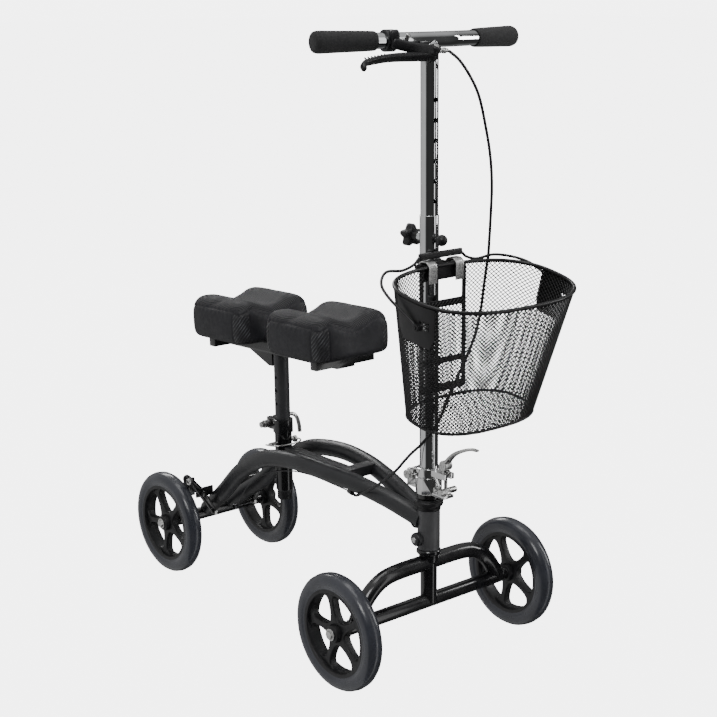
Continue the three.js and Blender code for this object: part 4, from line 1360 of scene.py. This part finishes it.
def make_cable():
    stretches = (
        ("upper", CABLE_UPPER, "tiller", "column"),
        ("middle", CABLE_MIDDLE, "column", "steering"),
        ("lower", CABLE_LOWER, "steering", "frame"),
    )
    for name, route, start_body, end_body in stretches:
        points = [at(*p) for p in route]
        housing = sweep(f"cable_housing_{name}", curve_through(points, 10), 2.5 * MM, sides=20)
        place(housing, CABLE_SKIN, end_body, [f"brake_cable_{name}"])
        housing.parent = None
        housing.matrix_world = Matrix.Identity(4)
        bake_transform(housing)
    wire = sweep("wire", curve_through([at(*p) for p in WIRE_ROUTE], 10), 1.3 * MM, sides=12)
    cross = sweep(
        "cross", [at(-48, 581, 120), at(-20, 581, 120), at(20, 581, 120), at(48, 581, 120)],
        1.3 * MM, sides=12,
    )
    hooks = [
        sweep(
            "hook", [at(s * 48, 580.5, 120), at(s * 48, 587.5, 120)], 1.3 * MM, sides=12, dome=0.8
        )
        for s in (-1, 1)
    ]
    yoke = slab(
        "yoke", [rounded([(-4, -4), (4, -4), (4, 6), (-4, 6), (-4, -4)], 1.5)[:-1]], 9,
        basis(at(0, 579.5, 120), X, Z), 1.0,
    )
    place(merged("brake_wire_finish", [wire, cross, *hooks, yoke]), STEEL, "frame", ["brake_wire"])


# ---------- basket ----------


def mix(a, b, t):
    return a + (b - a) * t


def basket_point(turn, t, inset=0.0):
    """A point on the basket's wall, as the CAD has it: turn goes round, t runs from floor to rim."""
    half = mix(119, 160, t) - inset
    front = mix(-166, -231, t) + inset
    back = -35 - inset
    power = 2.6
    c, s = math.cos(turn), math.sin(turn)
    x = half * math.copysign(abs(c) ** (2 / power), c)
    y = (back + front) / 2 + (back - front) / 2 * math.copysign(abs(s) ** (2 / power), s)
    return at(x, y, mix(475, 696.4, t) + 0.2 * (y + 35))


def even_turns(count, t):
    """Turn values at even distances round the basket."""
    fine = np.linspace(0, 2 * math.pi, 721)
    ring = np.array([basket_point(a, t, 1.2) for a in fine])
    walk = np.concatenate([[0], np.cumsum(np.linalg.norm(np.diff(ring, axis=0), axis=1))])
    return np.interp(np.arange(count) / count * walk[-1], walk, fine)


def strands(obj, thickness):
    wire = obj.modifiers.new("strands", "WIREFRAME")
    wire.thickness = thickness * MM
    wire.use_even_offset = False
    wire.use_replace = True
    wire.use_boundary = True
    return apply_modifiers(obj)


def in_window(p):
    return abs(p.x) < 0.0455 and p.y > AXIS_Y - 0.04 and 0.6375 < p.z < 0.69


def make_basket():
    columns, rows = 196, 64
    turns = even_turns(columns, 0.6)
    index, points = {}, []
    for j in range(rows + 1):
        for i in range(j % 2, columns, 2):
            index[i, j] = len(points)
            points.append(basket_point(turns[i], 0.012 + 0.98 * j / rows, 1.2))
    faces = []
    for j in range(rows - 1):
        for i in range(j % 2, columns, 2):
            ring = [(i, j), ((i + 1) % columns, j + 1), (i, j + 2), ((i - 1) % columns, j + 1)]
            corners = [index[key] for key in ring]
            if not any(in_window(points[c]) for c in corners):
                faces.append(corners)
    wall = strands(new_object("basket_mesh_wall", points, faces), 2.3)

    outline = [basket_point(a, 0.012, 1.2) for a in np.linspace(0, 2 * math.pi, 181)[:-1]]
    flat = np.array([(p.x, p.y) for p in outline])
    middle = flat.mean(0)
    angles = np.arctan2(flat[:, 1] - middle[1], flat[:, 0] - middle[0])
    order = np.argsort(angles)
    reach = np.linalg.norm(flat - middle, axis=1)

    def limit(angle):
        return np.interp(angle, angles[order], reach[order], period=2 * math.pi)

    index, points, faces = {}, [], []
    step_x, step_y = 5.4 * MM, 4.2 * MM
    inside = set()
    for i in range(-32, 33):
        for j in range(-26, 27):
            if (i + j) % 2:
                continue
            x, y = i * step_x, j * step_y
            angle, distance = math.atan2(y, x), math.hypot(x, y)
            edge = float(limit(angle))
            if distance < edge:
                inside.add((i, j))
            elif distance > 0:
                x, y = x * edge / distance, y * edge / distance
            index[i, j] = len(points)
            height = 475.8 * MM + 0.2 * (y + middle[1] - AXIS_Y + 35 * MM)
            points.append(Vector((middle[0] + x, middle[1] + y, height)))
    for i, j in index:
        ring = [(i, j), (i + 1, j + 1), (i, j + 2), (i - 1, j + 1)]
        if all(key in index for key in ring) and sum(key in inside for key in ring) >= 2:
            faces.append([index[key] for key in ring])
    floor = new_object("floor", points, faces)
    bm = bmesh.new()
    bm.from_mesh(floor.data)
    loose = [v for v in bm.verts if not v.link_faces]
    bmesh.ops.delete(bm, geom=loose, context="VERTS")
    bmesh.ops.remove_doubles(bm, verts=bm.verts, dist=1e-5)
    bm.to_mesh(floor.data)
    bm.free()
    strands(floor, 1.7)
    mesh = merged("basket_mesh", [wall, floor], 50)
    place(mesh, MESH_COAT, "basket", ["basket_shell"])

    loop = [basket_point(a, 1, 1.2) for a in np.linspace(0, 2 * math.pi, 121)[:-1]]
    rim = sweep("rim", loop, 3.1 * MM, closed=True, sides=20)
    loop = [basket_point(a, 0.012, 1.6) for a in np.linspace(0, 2 * math.pi, 121)[:-1]]
    base = sweep("base", loop, 2.4 * MM, closed=True, sides=16)
    place(merged("basket_rims", [rim, base], 50), MESH_COAT, "basket", ["basket_frame"])

    back = basis(at(0, -33.1, 0), X, Z)

    def box(x1, z1, x2, z2, corner):
        ring = [(x1, z1), (x2, z1), (x2, z2), (x1, z2), (x1, z1)]
        middle_start = ((x1 + x2) / 2, z1)
        return rounded([middle_start] + ring[1:] + [middle_start], corner, 4)[:-1]

    openings = [box(-43, 639, 43, 673, 3), box(-43, 543, 43, 627, 4), box(-43, 499, 43, 533, 4)]
    ladder = slab("back_ladder", [box(-51, 486, 51, 696, 6)] + openings, 2.8, back, 0.7)
    place(ladder, MESH_COAT, "basket")

    strap = rounded(
        [(-41.4, 670), (-41.4, 698), (-36, 704.2), (-22, 704.2), (-16.4, 698.5), (-16.4, 687.4)], 5,
        5,
    )
    for name, side in SIDES:
        path = [at(side * 29.5, y, z) for y, z in strap]
        hook = sweep(
            f"hook_strap_{name}", path, lambda _: (0.0092, 0.0012, 6.0), up=(0, -1, 0), sides=24,
            crease=50,
        )
        place(hook, ZINC, "basket")
        make_side_plate(name, side)
    make_bail()


def make_side_plate(name, side):
    """A sheet-metal plate on the basket's side wall, with an oblong slot and the bail's stud."""
    rows, columns = 14, 26
    low = 0.68

    def turn_of(i):
        turn = 0.1963 - 0.589 * i / columns
        return turn if side > 0 else math.pi - turn

    points, faces = [], []
    for offset in (-0.9, -3.0):
        for j in range(rows + 1):
            for i in range(columns + 1):
                points.append(basket_point(turn_of(i), mix(low, 0.99, j / rows), offset))
    layer = (rows + 1) * (columns + 1)

    def open_cell(i, j):
        return 6 <= j < 9 and 15 <= i < 22

    def skip(i, j):
        corner = min(i, columns - 1 - i) + j
        return open_cell(i, j) or corner < 3

    def vertex(i, j, k):
        return k * layer + j * (columns + 1) + i

    kept = {(i, j) for i in range(columns) for j in range(rows) if not skip(i, j)}
    for i, j in kept:
        ring = [(i, j), (i + 1, j), (i + 1, j + 1), (i, j + 1)]
        faces.append([vertex(a, b, 0) for a, b in ring])
        faces.append([vertex(a, b, 1) for a, b in reversed(ring)])
        for (a, b), (c, d), beside in zip(
            ring, ring[1:] + ring[:1], ((i, j - 1), (i + 1, j), (i, j + 1), (i - 1, j))
        ):
            if beside not in kept:
                faces.append([vertex(a, b, 0), vertex(a, b, 1), vertex(c, d, 1), vertex(c, d, 0)])
    plate = new_object("plate", points, faces)
    bm = bmesh.new()
    bm.from_mesh(plate.data)
    bmesh.ops.delete(bm, geom=[v for v in bm.verts if not v.link_faces], context="VERTS")
    bm.to_mesh(plate.data)
    bm.free()
    stud = turned(
        "stud", [(0, 150), (3, 150), (3, 163.8), (0, 163.8)], 0.6, at(*BAIL_PIVOT), (side, 0, 0), 24
    )
    seat = turned(
        "seat", [(0, 152), (6.8, 152), (6.8, 156.2), (0, 156.2)], 0.6, at(*BAIL_PIVOT),
        (side, 0, 0), 24,
    )
    place(merged(f"side_plate_{name}", [plate, stud, seat]), MESH_COAT, "basket")


def make_bail():
    half = [
        (158, -146, 635),
        (161, -134, 646),
        (165, -116, 659),
        (167, -94, 673),
        (161, -70, 686),
        (142, -48, 695),
        (116, -31, 699),
        (80, -27, 696),
        (56, -27, 703),
        (44, -27, 712),
    ]
    route = [at(-x, y, z) for x, y, z in half] + [at(0, -27, 713)] + [
        at(x, y, z) for x, y, z in reversed(half)
    ]
    wire = sweep("wire", curve_through(route, 9), 2.4 * MM, sides=18)
    eyes = [
        turned(
            "eye", [(3.4, 156.5), (5.9, 156.5), (5.9, 162.4), (3.4, 162.4)], 0.6, at(*BAIL_PIVOT),
            (side, 0, 0), 28,
        )
        for side in (-1, 1)
    ]
    place(merged("bail_wire", [wire] + eyes), MESH_COAT, "basket_handle", ["basket_handle"])
    path = [at(x, -27, 712.6) for x in np.linspace(-45.5, 45.5, 24)]
    grip = sweep("bail_grip", path, lambda t: (0.0031, 0.0054, 4.0), dome=0.4, sides=28)
    place(grip, BLACK_PLASTIC, "basket_handle")


# ---------- rear brake ----------


def make_brakes():
    for name, side in SIDES:
        softened(f"brake_arm_{name}", ENAMEL, 0.8)
        softened(f"brake_shoe_{name}", SHOE, 1.6)
        body = f"brake_arm_{name}"
        head = turned(
            "head", [(0, 0), (5.4, 0), (5.4, 4.2), (0, 5)], 0.9, at(side * 104, 583, 197),
            (0, -1, 0), 28,
        )
        washer = turned(
            "washer", [(0, 0), (7.4, 0), (7.4, 1.2), (0, 1.2)], 0.3, at(side * 104, 583, 197),
            (0, -1, 0), 28,
        )
        place(merged(f"shoe_bolt_{name}", [head, washer]), ZINC, body)
        holder = slab(
            f"shoe_holder_{name}",
            [rounded([(0, -9), (8, -9), (8, 20), (-8, 20), (-8, -9), (0, -9)], 3)[:-1]],
            3,
            basis(at(side * 96, 588.8, 181), X, Z),
            0.8,
        )
        place(holder, ENAMEL, body)
        tail = turned(
            "tail", [(0, 0), (4.2, 0), (4.2, 3), (0, 3.4)], 0.7, at(side * 48, 579.2, 120),
            (0, -1, 0), 24,
        )
        place(merged(f"wire_stop_{name}", [tail]), ZINC, body)


make_camera()
make_studio()
ground = new_object(
    "ground", [(-40, -40, 0), (40, -40, 0), (40, 40, 0), (-40, 40, 0)], [(0, 1, 2, 3)]
)
ground.data.materials.append(floor_paint())
make_frame()
make_seat()
make_pad("knee_pad_front", "front_knee_pad", 270)
make_pad("knee_pad_rear", "rear_knee_pad", 504)
for wheel_name, wheel_side in SIDES:
    make_wheel("front", wheel_name, wheel_side, "steering")
    make_wheel("rear", wheel_name, wheel_side, "frame")
make_steering()
make_column()
make_tiller()
make_cable()
make_basket()
make_brakes()
